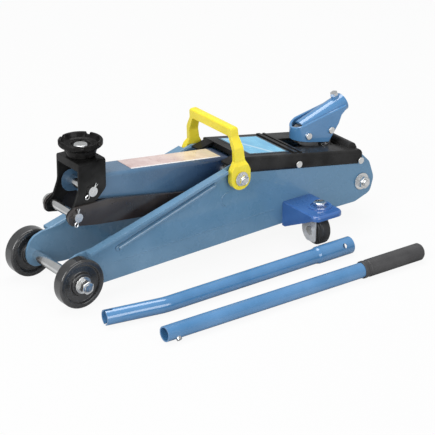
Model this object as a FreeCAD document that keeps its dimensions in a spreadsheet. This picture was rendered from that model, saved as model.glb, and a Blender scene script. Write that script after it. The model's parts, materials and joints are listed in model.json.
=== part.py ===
"""Hydraulic trolley jack with a two-piece pump handle laid beside it.

Every length is in millimetres.  The jack is drawn about its own datum: X runs from
the front axle to the rear, Y = 0 is the mid-plane, Z = 0 is the floor.  SHIFT then
moves everything so that the origin is at the middle of the whole set's footprint.
"""
import FreeCAD, Part
import math
import os
import re
import Sketcher

os.makedirs("parts", exist_ok=True)
doc = FreeCAD.newDocument("trolley_jack")

Vector = FreeCAD.Vector
Rotation = FreeCAD.Rotation
Placement = FreeCAD.Placement
X_AXIS = Vector(1, 0, 0)
Y_AXIS = Vector(0, 1, 0)
Z_AXIS = Vector(0, 0, 1)
LEFT = -1
RIGHT = 1
SIDES = (("left", LEFT), ("right", RIGHT))

# ---------------------------------------------------------------- driving dimensions
SHEET = "dimensions"
DIMENSIONS = {
    # datum of the whole set, measured from the jack's own datum
    "origin_x": 191.5,
    "origin_y": -42.68,
    # side plates
    "plate_inner": 35.0,
    "plate_thickness": 3.0,
    "plate_outer": 38.0,
    "flange_width": 9.0,
    "bead_height": 1.8,
    # front axle and wheels
    "axle_z": 27.5,
    "axle_radius": 6.0,
    "front_wheel_radius": 27.5,
    "front_wheel_width": 15.0,
    "front_wheel_y": 49.3,
    # lift arm
    "arm_pivot_x": 213.5,
    "arm_pivot_z": 93.0,
    "arm_reach": 179.79,
    "arm_rest_angle": 6.868,
    "arm_half_width": 18.5,
    "arm_top": 15.0,
    "lug_reach": 42.0,
    "lug_angle": 27.7,
    # saddle bracket and levelling links
    "saddle_pin_x": 35.0,
    "saddle_pin_z": 114.5,
    "saddle_pin_radius": 5.5,
    "link_offset_x": -21.0,
    "link_offset_z": -23.5,
    "link_pin_radius": 5.0,
    "bracket_half_width": 22.0,
    "bracket_top": 147.0,
    "link_inner": 22.5,
    "link_thickness": 3.0,
    # saddle
    "saddle_x": 37.5,
    "saddle_radius": 24.0,
    "saddle_rim_z": 165.4,
    # hydraulics
    "ram_z": 54.0,
    "ram_radius": 9.0,
    "cylinder_radius": 19.0,
    "cylinder_bore": 15.0,
    "reservoir_radius": 27.0,
    "block_front": 344.0,
    "block_rear": 400.0,
    "block_half_width": 30.0,
    "block_bottom": 24.0,
    "block_top": 74.0,
    # pump lever
    "lever_x": 333.4,
    "lever_z": 104.1,
    "press_x": 366.0,
    "press_z": 104.2,
    "socket_radius": 10.6,
    "socket_bore": 8.7,
    "socket_length": 64.0,
    "socket_angle": 19.0,
    "plunger_radius": 6.0,
    # cover
    "cover_half_width": 40.0,
    "cover_wall": 1.8,
    # casters
    "caster_x": 304.0,
    "caster_y": 73.0,
    "caster_wheel_radius": 18.0,
    "caster_wheel_width": 13.0,
    "caster_trail": 4.0,
    "caster_bracket_top": 46.0,
    "fork_top": 39.8,
    # loose handle
    "handle_radius": 8.5,
    "handle_wall": 1.5,
    "sleeve_radius": 9.75,
    "grip_radius": 9.75,
    "running_gap": 0.05,
    "fixed_gap": 0.02,
}


def fill_sheet():
    """Put the driving dimensions into the spreadsheet, one named cell each."""
    sheet = doc.addObject("Spreadsheet::Sheet", SHEET)
    for row, (name, value) in enumerate(DIMENSIONS.items(), start=1):
        sheet.set(f"A{row}", name)
        sheet.set(f"B{row}", str(value))
        sheet.setAlias(f"B{row}", name)
    doc.recompute()


def number(value):
    """A length from a number or from a sum such as 'plate_inner + 3'."""
    if not isinstance(value, str):
        return float(value)
    total = 0.0
    sign = 1.0
    for word in value.split():
        if word in ("+", "-"):
            sign = 1.0 if word == "+" else -1.0
            continue
        total += sign * (DIMENSIONS[word] if word in DIMENSIONS else float(word))
        sign = 1.0
    return total


def bound(value):
    """The same length as an expression on the spreadsheet."""
    if not isinstance(value, str):
        return str(float(value))
    return re.sub(r"[a-z_]{3,}", lambda word: f"{SHEET}.{word.group(0)}", value)


def at(x, y, z):
    return Vector(number(x), number(y), number(z))


SHIFT = Placement(Vector(-DIMENSIONS["origin_x"], -DIMENSIONS["origin_y"], 0), Rotation())
PIECES = {}


def keep(node, piece):
    """Name a finished sub-part."""
    piece.Label = node
    PIECES[node] = piece
    return piece


# ---------------------------------------------------------------- building blocks
def rod(name, radius, length, start, direction, place=Placement()):
    """A round bar from its start point along a direction."""
    bar = doc.addObject("Part::Cylinder", name)
    bar.setExpression("Radius", bound(radius))
    bar.setExpression("Height", bound(length))
    bar.Placement = SHIFT * place * Placement(start, Rotation(Z_AXIS, direction))
    return bar


def hexagon(name, across_flats, length, start, direction):
    """A six-sided bar from its start point along a direction."""
    prism = doc.addObject("Part::Prism", name)
    prism.Polygon = 6
    prism.setExpression("Circumradius", f"{bound(across_flats)} / sqrt(3)")
    prism.setExpression("Height", bound(length))
    prism.Placement = SHIFT * Placement(start, Rotation(Z_AXIS, direction))
    return prism


def block(name, sizes, corner, place=Placement()):
    """A box with its lowest corner at a point."""
    box = doc.addObject("Part::Box", name)
    for side, size in zip(("Length", "Width", "Height"), sizes):
        box.setExpression(side, bound(size))
    box.Placement = SHIFT * place * Placement(corner, Rotation())
    return box


def cut(name, base, tools):
    """A piece with one or more tools taken out of it."""
    tool = tools[0] if len(tools) == 1 else joined(f"{name}_tools", tools)
    result = doc.addObject("Part::Cut", name)
    result.Base = base
    result.Tool = tool
    return result


def joined(name, pieces):
    """Several shapes welded into one."""
    result = doc.addObject("Part::MultiFuse", name)
    result.Shapes = pieces
    result.Refine = True
    return result


def group(name, pieces):
    """Identical loose pieces kept together."""
    result = doc.addObject("Part::Compound", name)
    result.Links = pieces
    return result


def origin_plane(body, role):
    return next(plane for plane in body.Origin.OriginFeatures if plane.Role == role)


def outline_sketch(body, name, role, offset, points):
    """A closed outline of straight sides, each corner placed by two bound dimensions."""
    sketch = body.newObject("Sketcher::SketchObject", name)
    sketch.AttachmentSupport = (origin_plane(body, role), [""])
    sketch.MapMode = "FlatFace"
    sketch.AttachmentOffset = Placement(Vector(0, 0, number(offset)), Rotation())
    corners = [Vector(number(point[0]), number(point[1]), 0) for point in points]
    count = len(corners)
    for index, corner in enumerate(corners):
        sketch.addGeometry(Part.LineSegment(corner, corners[(index + 1) % count]))
    for index in range(count):
        sketch.addConstraint(Sketcher.Constraint("Coincident", index, 2, (index + 1) % count, 1))
    for index, point in enumerate(points):
        for axis, kind in enumerate(("DistanceX", "DistanceY")):
            rule = Sketcher.Constraint(kind, -1, 1, index, 1, number(point[axis]))
            row = sketch.addConstraint(rule)
            if isinstance(point[axis], str):
                sketch.setExpression(f"Constraints[{row}]", bound(point[axis]))
    return sketch


def circle_sketch(body, name, role, offset, circles):
    """Circles given as (x, y, radius), each placed and sized by bound dimensions."""
    sketch = body.newObject("Sketcher::SketchObject", name)
    sketch.AttachmentSupport = (origin_plane(body, role), [""])
    sketch.MapMode = "FlatFace"
    sketch.AttachmentOffset = Placement(Vector(0, 0, number(offset)), Rotation())
    for index, (x, y, radius) in enumerate(circles):
        centre = Vector(number(x), number(y), 0)
        sketch.addGeometry(Part.Circle(centre, Z_AXIS, number(radius)))
        rules = (
            (Sketcher.Constraint("DistanceX", -1, 1, index, 3, number(x)), x),
            (Sketcher.Constraint("DistanceY", -1, 1, index, 3, number(y)), y),
            (Sketcher.Constraint("Radius", index, number(radius)), radius),
        )
        for rule, value in rules:
            row = sketch.addConstraint(rule)
            if isinstance(value, str):
                sketch.setExpression(f"Constraints[{row}]", bound(value))
    return sketch


def new_body(name, place=Placement()):
    body = doc.addObject("PartDesign::Body", name)
    body.Placement = SHIFT * place
    return body


def pad(body, name, sketch, depth, midplane=False):
    feature = body.newObject("PartDesign::Pad", name)
    feature.Profile = sketch
    feature.setExpression("Length", bound(depth))
    feature.Midplane = midplane
    doc.recompute()
    return feature


def pocket(body, name, sketch, depth=None):
    """Cut a sketch out to both sides of its plane, right through or to a total depth."""
    before = body.Shape.Volume
    feature = body.newObject("PartDesign::Pocket", name)
    feature.Profile = sketch
    feature.Midplane = True
    if depth is None:
        feature.Type = "ThroughAll"
    else:
        feature.setExpression("Length", bound(depth))
    doc.recompute()
    if body.Shape.Volume >= before:
        raise ValueError(f"{name} cuts nothing")
    return feature


def soften(body, name, radius, chosen):
    """Round the edges of the body's last feature that a test picks out."""
    tip = body.Tip
    names = [f"Edge{i}" for i, edge in enumerate(tip.Shape.Edges, start=1) if chosen(edge)]
    if not names:
        raise ValueError(f"{name} finds no edge")
    fillet = body.newObject("PartDesign::Fillet", name)
    fillet.Base = (tip, names)
    fillet.setExpression("Radius", bound(radius))
    doc.recompute()
    return fillet


def runs_along(edge, direction):
    """Whether an edge is a straight line along a direction."""
    if not isinstance(edge.Curve, Part.Line):
        return False
    return abs(abs(edge.Curve.Direction.dot(direction)) - 1) < 1e-6


def round_corners(body, name, points, normal, radii_from=2):
    """Round the corners of a padded outline whose points carry a radius."""
    picks = {}
    for point in points:
        if len(point) > radii_from:
            picks.setdefault(point[radii_from], []).append((number(point[0]), number(point[1])))
    flat = [axis for axis in range(3) if normal[axis] == 0]

    def is_corner(edge, places):
        if not runs_along(edge, normal):
            return False
        start = edge.Vertexes[0].Point
        return any(math.dist((start[flat[0]], start[flat[1]]), place) < 0.01 for place in places)

    for index, (radius, places) in enumerate(picks.items()):
        soften(body, f"{name}_{index}", radius, lambda edge: is_corner(edge, places))


def plate(name, points, y_high, depth, place=Placement(), midplane=False):
    """A body cut from flat stock: an (x, z) outline padded along Y."""
    body = new_body(name, place)
    sketch = outline_sketch(body, f"{name}_outline", "XZ_Plane", -number(y_high), points)
    pad(body, f"{name}_pad", sketch, depth, midplane)
    round_corners(body, f"{name}_corner", points, Y_AXIS)
    return body


def drill(body, name, holes):
    """Round holes along Y, right through, given as (x, z, radius)."""
    pocket(body, name, circle_sketch(body, f"{name}_circles", "XZ_Plane", 0, holes))


def turned(name, profile, start, direction, place=Placement()):
    """A turned piece: a (radius, height) profile revolved about a direction."""
    body = new_body(name, place * Placement(start, Rotation(Z_AXIS, direction)))
    sketch = outline_sketch(body, f"{name}_profile", "XZ_Plane", 0, profile)
    turn = body.newObject("PartDesign::Revolution", f"{name}_turn")
    turn.Profile = sketch
    turn.ReferenceAxis = (sketch, ["V_Axis"])
    turn.Angle = 360
    doc.recompute()
    return body


def along_y(side):
    return Vector(0, side, 0)


# ---------------------------------------------------------------- frame
FLANGE_FRONT = (17.0, 54.6)
WEB_REAR = (206.0, 107.7)
FLANGE_SHARE = 0.95
FLANGE_REAR = tuple(a + (b - a) * FLANGE_SHARE for a, b in zip(FLANGE_FRONT, WEB_REAR))
FLANGE_DROP = 3.15
BEAD_FRONT = Vector(54, 0, 46.8)
BEAD_REAR = Vector(187, 0, 89.8)
BEAD_HALF = 3.3


def side_plate(word, side):
    """A pressed side plate: web, outward flange along the slope, stiffening bead."""
    name = f"side_plate_{word}"
    outline = [
        (-12, 36, 11),
        (-12.3, 27, 11),
        (-9.5, 19.5, 8),
        (-3, 15, 8),
        (35, 12),
        (280, 19.5),
        (384, 19.5, 14),
        (406, 27, 10),
        (411, 44, 14),
        (404, 65, 12),
        (392, 77.2, 6),
        (228, 105.4, 8),
        WEB_REAR,
        FLANGE_FRONT,
        (7, 53.5, 11),
        (-2, 50.5, 11),
        (-8, 45, 11),
    ]
    inner = side * number("plate_inner")
    outer = side * number("plate_outer")
    body = plate(name, outline, max(inner, outer), "plate_thickness")
    slope = Vector(FLANGE_REAR[0] - FLANGE_FRONT[0], 0, FLANGE_REAR[1] - FLANGE_FRONT[1])
    slope.normalize()
    flange = [
        FLANGE_FRONT,
        FLANGE_REAR,
        (FLANGE_REAR[0], FLANGE_REAR[1] - FLANGE_DROP),
        (FLANGE_FRONT[0], FLANGE_FRONT[1] - FLANGE_DROP),
    ]
    flange_outer = side * number("plate_outer + flange_width")
    sketch = outline_sketch(body, f"{name}_flange", "XZ_Plane", -max(inner, flange_outer), flange)
    pad(body, f"{name}_fold", sketch, "plate_thickness + flange_width")

    def is_fold(edge):
        if not runs_along(edge, slope) or abs(edge.Vertexes[0].Y - inner) > 0.01:
            return False
        return edge.Vertexes[0].Z > FLANGE_FRONT[1] - 1 and edge.Length > 100

    soften(body, f"{name}_bend", 3.0, is_fold)
    across = Vector(-slope.z, 0, slope.x) * BEAD_HALF
    bead_corners = (BEAD_FRONT - across, BEAD_REAR - across, BEAD_REAR + across, BEAD_FRONT + across)
    bead = [(corner.x, corner.z, 3.0) for corner in bead_corners]
    bead_outer = side * number("plate_outer + bead_height")
    sketch = outline_sketch(body, f"{name}_bead", "XZ_Plane", -max(outer, bead_outer), bead)
    pad(body, f"{name}_bead_pad", sketch, "bead_height")
    round_corners(body, f"{name}_bead_end", bead, Y_AXIS)
    soften(body, f"{name}_bead_edge", 1.4, lambda edge: is_flat_at(edge, bead_outer))
    holes = [
        (0, "axle_z", "axle_radius + fixed_gap"),
        ("arm_pivot_x", "arm_pivot_z", "7 + fixed_gap"),
        (REAR_BOLT[0], REAR_BOLT[1], "5 + fixed_gap"),
    ]
    holes += [(x, z, "2 + fixed_gap") for x, z in COVER_SCREWS]
    drill(body, f"{name}_holes", holes)
    keep(name, body)


def is_flat_at(edge, y):
    """Whether the whole edge lies in the plane at one y."""
    low = edge.BoundBox.YMin
    high = edge.BoundBox.YMax
    return abs(low - y) < 0.01 and abs(high - y) < 0.01


def link_pivot():
    """Where a levelling link turns on its side plate."""
    return at("arm_pivot_x + link_offset_x", 0, "arm_pivot_z + link_offset_z")


def lower_pin():
    """Where a levelling link turns on the saddle bracket."""
    return at("saddle_pin_x + link_offset_x", 0, "saddle_pin_z + link_offset_z")


REAR_BOLT = (392.5, 43.0)
COVER_SCREWS = ((299.0, 87.0), (388.8, 70.2))
NUT_DEPTH = 9.0
WASHER_DEPTH = 1.6


def front_axle():
    """The axle, shouldered for the wheels, with a washer and a nut at each end."""
    shoulder = number("front_wheel_y") + number("front_wheel_width") / 2 + 0.3
    stud_end = shoulder + WASHER_DEPTH + NUT_DEPTH + 1
    profile = [(0, -stud_end), (4, -stud_end), (4, -shoulder)]
    profile += [("axle_radius", -shoulder), ("axle_radius", shoulder)]
    profile += [(4, shoulder), (4, stud_end), (0, stud_end)]
    axle = turned("front_axle", profile, at(0, 0, "axle_z"), Y_AXIS)
    keep("front_axle", axle)
    washers = []
    nuts = []
    for word, side in SIDES:
        start = at(0, side * shoulder, "axle_z")
        disc = rod(f"axle_washer_disc_{word}", 9.5, WASHER_DEPTH, start, along_y(side))
        hole = rod(f"axle_washer_hole_{word}", "4 + fixed_gap", WASHER_DEPTH, start, along_y(side))
        washers.append(cut(f"axle_washer_{word}", disc, [hole]))
        start = at(0, side * (shoulder + WASHER_DEPTH), "axle_z")
        body = hexagon(f"axle_nut_hex_{word}", 13, NUT_DEPTH, start, along_y(side))
        hole = rod(f"axle_nut_hole_{word}", "4 + fixed_gap", NUT_DEPTH, start, along_y(side))
        nuts.append(cut(f"axle_nut_{word}", body, [hole]))
    keep("front_axle_washers", group("axle_washers", washers))
    keep("front_axle_nuts", group("axle_nuts", nuts))


def front_cross_brace():
    """The round tie bar between the side plates behind the axle."""
    brace = rod("cross_brace", 5, 70, at(95, "0 - plate_inner", 21), Y_AXIS)
    keep("front_cross_brace", brace)


def front_wheel(word, side):
    """A moulded wheel with a recessed web on both faces."""
    half = number("front_wheel_width") / 2
    bore = "axle_radius + running_gap"
    face = [(bore, half), (12, half), (13.5, 4.6), (20.5, 4.6), (22, half), (26, half)]
    tread = [("front_wheel_radius", half - 1.6), ("front_wheel_radius", 1.6 - half)]
    back = [(26, -half), (22, -half), (20.5, -4.6), (13.5, -4.6), (12, -half), (bore, -half)]
    centre = at(0, side * number("front_wheel_y"), "axle_z")
    keep(f"front_wheel_{word}", turned(f"front_wheel_{word}", face + tread + back, centre, Y_AXIS))


def spacers():
    """The collars that hold the front wheels clear of the side plates."""
    collars = []
    inner_face = number("front_wheel_y") - number("front_wheel_width") / 2 - 0.3
    for word, side in SIDES:
        start = at(0, side * number("plate_outer"), "axle_z")
        length = inner_face - number("plate_outer")
        disc = rod(f"axle_collar_disc_{word}", 9, length, start, along_y(side))
        hole = rod(f"axle_collar_hole_{word}", "axle_radius + fixed_gap", length, start, along_y(side))
        collars.append(cut(f"axle_collar_{word}", disc, [hole]))
    keep("front_axle_spacers", group("axle_collars", collars))


def arm_shaft():
    """The shaft that the lift arm turns on, with a shouldered bolt at each end."""
    shaft = rod("arm_shaft", 7, 76, at("arm_pivot_x", -38, "arm_pivot_z"), Y_AXIS)
    keep("arm_shaft", shaft)
    bolts = []
    washers = []
    for word, side in SIDES:
        start = at("arm_pivot_x", side * 38, "arm_pivot_z")
        shoulder = rod(f"pivot_shoulder_{word}", 6, 10.4, start, along_y(side))
        start = at("arm_pivot_x", side * 48.4, "arm_pivot_z")
        neck = rod(f"pivot_neck_{word}", 4, 1.6, start, along_y(side))
        disc = rod(f"pivot_washer_disc_{word}", 9.5, 1.6, start, along_y(side))
        hole = rod(f"pivot_washer_hole_{word}", "4 + fixed_gap", 1.6, start, along_y(side))
        washers.append(cut(f"pivot_washer_{word}", disc, [hole]))
        start = at("arm_pivot_x", side * 50, "arm_pivot_z")
        head = hexagon(f"pivot_head_{word}", 13, 5, start, along_y(side))
        bolts.append(joined(f"pivot_bolt_{word}", [shoulder, neck, head]))
    keep("handle_pivot_bolts", group("pivot_bolts", bolts))
    keep("handle_pivot_washers", group("pivot_washers", washers))


def link_rear_pins():
    """Headed stub pins, one welded inside each side plate, for the rear ends of the links."""
    pins = []
    for word, side in SIDES:
        start = link_pivot() + Vector(0, side * 21.2, 0)
        head = rod(f"stub_head_{word}", 7.5, 1, start, along_y(side))
        start = link_pivot() + Vector(0, side * 22.2, 0)
        shank = rod(f"stub_shank_{word}", "link_pin_radius", 12.8, start, along_y(side))
        pins.append(joined(f"stub_{word}", [head, shank]))
    keep("link_rear_pins", group("link_stubs", pins))


# ---------------------------------------------------------------- lift arm
def arm_frame():
    """The lift arm's own frame: origin on its pivot, X back along its centre line."""
    angle = number("arm_rest_angle")
    return Placement(at("arm_pivot_x", 0, "arm_pivot_z"), Rotation(Y_AXIS, angle))


def lug_point():
    """The push pin's centre in the lift arm's frame."""
    angle = math.radians(number("lug_angle"))
    reach = number("lug_reach")
    return Vector(reach * math.sin(angle), 0, -reach * math.cos(angle))


def lift_arm():
    """An inverted channel whose cheeks carry the saddle pin, the pivot tube and the push pin."""
    front = -number("arm_reach")
    top = number("arm_top")
    outline = [
        (front - 13, -13, 12.5),
        (front - 13, 12, 11.5),
        (front + 8, 13),
        (front + 18, "arm_top", 8),
        (6, "arm_top", 7),
        (14, 3, 6),
        (17, -17, 10),
        (29, -33, 7),
        (21, -46, 8),
        (8, -41, 8),
        (-8, -25, 12),
        (-60, -20),
        (front + 12, -13.5, 12),
    ]
    body = plate("lift_arm", outline, 0, "arm_half_width + arm_half_width", arm_frame(), True)

    def is_long_top(edge):
        return runs_along(edge, X_AXIS) and abs(edge.Vertexes[0].Z - top) < 0.01

    soften(body, "arm_top_round", 4.5, is_long_top)
    hollow = [
        (front - 30, -70),
        (front - 30, top + 5),
        (front + 15, top + 5),
        (front + 15, top - 3),
        (45, top - 3),
        (45, -70),
    ]
    sketch = outline_sketch(body, "arm_hollow", "XZ_Plane", 0, hollow)
    pocket(body, "arm_hollow_cut", sketch, "arm_half_width + arm_half_width - 6")
    lug = lug_point()
    holes = [
        (0, 0, "9 + fixed_gap"),
        (front, 0, "saddle_pin_radius + running_gap"),
        (lug.x, lug.z, "5 + fixed_gap"),
    ]
    drill(body, "arm_holes", holes)
    keep("lift_arm", body)


def arm_fittings():
    """The pivot tube, the push pin for the ram, and the plain decal on the arm's top."""
    place = arm_frame()
    tube = rod("bush_outer", 9, 40, Vector(0, -20, 0), Y_AXIS, place)
    bore = rod("bush_bore", "7 + running_gap", 40, Vector(0, -20, 0), Y_AXIS, place)
    keep("arm_pivot_tube", cut("arm_pivot_tube", tube, [bore]))
    lug = lug_point()
    pin = rod("push_pin", 5, 41, Vector(lug.x, -20.5, lug.z), Y_AXIS, place)
    keep("ram_push_pin", pin)
    front = -124
    label = block("arm_label", (119, 28, 0.4), Vector(front, -14, number("arm_top")), place)
    keep("arm_label", label)


# ---------------------------------------------------------------- saddle bracket
def saddle_bracket():
    """A pressed bracket that wraps the arm's front end and carries the saddle."""
    pin = lower_pin()
    outline = [
        (20.5, "bracket_top"),
        (20.5, 117, 20),
        (13, 99, 10),
        (pin.x - 9.5, pin.z + 3, 7),
        (pin.x - 8.5, pin.z - 9, 7),
        (pin.x + 8, pin.z - 9.5, 7),
        (pin.x + 13, pin.z + 5, 8),
        (44, 103, 12),
        (54.5, 113.5, 8),
        (54.5, "bracket_top"),
    ]
    width = "bracket_half_width + bracket_half_width"
    body = plate("saddle_bracket", outline, 0, width, Placement(), True)

    def is_long_top(edge):
        return runs_along(edge, X_AXIS) and abs(edge.Vertexes[0].Z - number("bracket_top")) < 0.01

    soften(body, "bracket_top_round", 3.2, is_long_top)
    hollow = [(-30, 40), (-30, "bracket_top - 3"), (90, "bracket_top - 3"), (90, 40)]
    sketch = outline_sketch(body, "bracket_hollow", "XZ_Plane", 0, hollow)
    pocket(body, "bracket_hollow_cut", sketch, f"{width} - 6")
    lip = [
        (20.5, "bracket_top - 2"),
        (20.5, "bracket_top - 9"),
        (23.5, "bracket_top - 9"),
        (23.5, "bracket_top - 2"),
    ]
    sketch = outline_sketch(body, "bracket_lip", "XZ_Plane", 0, lip)
    pad(body, "bracket_lip_pad", sketch, f"{width} - 5", True)
    holes = [
        ("saddle_pin_x", "saddle_pin_z", "saddle_pin_radius + fixed_gap"),
        (pin.x, pin.z, "link_pin_radius + fixed_gap"),
    ]
    drill(body, "bracket_holes", holes)
    centre = at("saddle_x", 0, "bracket_top - 5")
    hole = rod("rivet_hole", "5 + running_gap", 12, centre, Z_AXIS)
    keep("saddle_bracket", cut("saddle_bracket_part", body, [hole]))


SPLIT_PIN_TURN = {"upper": -135, "lower": -168}


def bracket_pins():
    """The headed saddle pin and link pin, and the split pins that hold them."""
    pin = at("saddle_pin_x", 0, "saddle_pin_z")
    shank = rod("saddle_pin_shank", "saddle_pin_radius", 49, pin + Vector(0, -26.8, 0), Y_AXIS)
    head = rod("saddle_pin_head", 8, 3, pin + Vector(0, 22.2, 0), Y_AXIS)
    keep("saddle_pin", joined("saddle_pin_part", [shank, head]))
    low = lower_pin()
    shank = rod("link_pin_shank", "link_pin_radius", 57, low + Vector(0, -30.8, 0), Y_AXIS)
    head = rod("link_pin_head", 8, 3, low + Vector(0, 26.2, 0), Y_AXIS)
    keep("link_pin", joined("link_pin_part", [shank, head]))
    split_pins = []
    for word, place in (("upper", pin + Vector(0, -24.4, 0)), ("lower", low + Vector(0, -28.4, 0))):
        turn = Placement(place, Rotation(Y_AXIS, SPLIT_PIN_TURN[word]))
        eye = doc.addObject("Part::Torus", f"split_eye_{word}")
        eye.Radius1 = 2.2
        eye.Radius2 = 0.8
        eye.Placement = SHIFT * turn * Placement(Vector(0, 0, 8.8), Rotation(X_AXIS, 90))
        legs = rod(f"split_legs_{word}", 1, 15, Vector(0, 0, -8.2), Z_AXIS, turn)
        split_pins.append(joined(f"split_pin_{word}", [eye, legs]))
    keep("split_pins", group("split_pin_set", split_pins))


def drilled_for_split_pins():
    """Cross-drill the saddle pin and the link pin for their split pins."""
    spots = (("saddle_pin", at("saddle_pin_x", -24.4, "saddle_pin_z"), "upper"),)
    spots += (("link_pin", lower_pin() + Vector(0, -28.4, 0), "lower"),)
    for node, place, word in spots:
        turn = Placement(place, Rotation(Y_AXIS, SPLIT_PIN_TURN[word]))
        hole = rod(f"split_hole_{word}", "1 + fixed_gap", 20, Vector(0, 0, -10), Z_AXIS, turn)
        base = PIECES[node]
        base.Label = f"{node}_blank"
        keep(node, cut(f"{node}_drilled", base, [hole]))


def levelling_link(word, side):
    """One of the two lower links that keep the saddle bracket level."""
    front = lower_pin()
    rear = link_pivot()
    outline = [
        (front.x - 10, front.z + 3, 7),
        (front.x - 9, front.z - 9.5, 7),
        (front.x + 26, front.z - 16),
        (rear.x, rear.z - 9.5, 6),
        (rear.x + 9.5, rear.z - 7, 7),
        (rear.x + 9.5, rear.z + 9, 8),
        (rear.x - 40, rear.z + 15),
        (front.x + 40, front.z + 10),
        (front.x, front.z + 10, 8),
    ]
    inner = side * number("link_inner")
    outer = side * number("link_inner + link_thickness")
    name = f"levelling_link_{word}"
    body = plate(name, outline, max(inner, outer), "link_thickness")
    hole = "link_pin_radius + running_gap"
    drill(body, f"{name}_holes", [(front.x, front.z, hole), (rear.x, rear.z, hole)])
    keep(name, body)


def saddle():
    """The cast cup with a notched rim, and the rivet that it turns on."""
    base = number("bracket_top") + 0.3
    rim = number("saddle_rim_z")
    outer = [(14.5, base), (16, base + 1.5), (17.5, base + 5), (19.5, rim - 8.5), (23.2, rim - 6)]
    lip = [("saddle_radius", rim - 5), ("saddle_radius", rim - 0.8), (23.2, rim), (20.6, rim)]
    inner = [(19, rim - 4.5), (15, rim - 7.5), ("8 + running_gap", rim - 7.5)]
    bore = [("8 + running_gap", rim - 9.5), ("5 + running_gap", rim - 9.5), ("5 + running_gap", base)]
    cup = turned("saddle_blank", outer + lip + inner + bore, at("saddle_x", 0, 0), Z_AXIS)
    notches = []
    for step in range(6):
        turn = Placement(at("saddle_x", 0, rim - 3), Rotation(Z_AXIS, 60 * step + 30))
        notches.append(block(f"rim_notch_{step}", (8, 5, 6), Vector(18.6, -2.5, 0), turn))
    keep("saddle_cup", cut("saddle_cup_part", cup, notches))
    top = rim - 5.5
    profile = [(0, 141.6), (7.5, 141.6), (7.5, 143.8), (5, 143.8), (5, rim - 9.4), (8, rim - 9.4)]
    profile += [(8, top - 1), (7, top), (0, top)]
    keep("saddle_rivet", turned("saddle_rivet", profile, at("saddle_x", 0, 0), Z_AXIS))


# ---------------------------------------------------------------- hydraulics
GLAND_FRONT = 254.0
GLAND_LENGTH = 12.0
RAM_HEAD_FRONT = 233.8
RAM_HEAD_LENGTH = 10.0
PISTON_FRONT = 322.0


def tube(name, outer, inner, length, start, direction):
    """A plain tube."""
    wall = rod(f"{name}_outer", outer, length, start, direction)
    hole = rod(f"{name}_inner", inner, length, start, direction)
    return cut(name, wall, [hole])


def hydraulics():
    """The pump block, cylinder, reservoir, gland, ram and return spring."""
    axis = at(0, 0, "ram_z")
    tube_start = GLAND_FRONT + GLAND_LENGTH
    length = number("block_front") - tube_start
    start = axis + Vector(tube_start, 0, 0)
    keep("ram_cylinder", tube("ram_cylinder", "cylinder_radius", "cylinder_bore + fixed_gap", length, start, X_AXIS))
    keep("reservoir_tube", tube("reservoir_tube", "reservoir_radius", "reservoir_radius - 2", length, start, X_AXIS))
    start = axis + Vector(GLAND_FRONT, 0, 0)
    gland = tube("cylinder_gland", "reservoir_radius", "ram_radius + running_gap", GLAND_LENGTH, start, X_AXIS)
    keep("cylinder_gland", gland)
    start = axis + Vector(RAM_HEAD_FRONT, 0, 0)
    head = rod("ram_head", 12, RAM_HEAD_LENGTH, start, X_AXIS)
    keep("ram_head", head)
    rod_start = RAM_HEAD_FRONT + RAM_HEAD_LENGTH
    stem = rod("ram_stem", "ram_radius", PISTON_FRONT - rod_start, axis + Vector(rod_start, 0, 0), X_AXIS)
    piston = rod("ram_piston", "cylinder_bore - running_gap", 12, axis + Vector(PISTON_FRONT, 0, 0), X_AXIS)
    keep("ram_rod", joined("ram_rod_part", [stem, piston]))


def coil_spring(node, mean_radius, wire, length, turns, start, direction):
    """A round-wire compression spring."""
    helix = Part.makeHelix(length / turns, length, mean_radius)
    section = Part.Wire([Part.makeCircle(wire, Vector(mean_radius, 0, 0), Y_AXIS)])
    solid = Part.Wire(helix.Edges).makePipeShell([section], True, True)
    spring = doc.addObject("Part::Feature", node)
    spring.Shape = solid
    spring.Placement = SHIFT * Placement(start, Rotation(Z_AXIS, direction))
    keep(node, spring)


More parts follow.
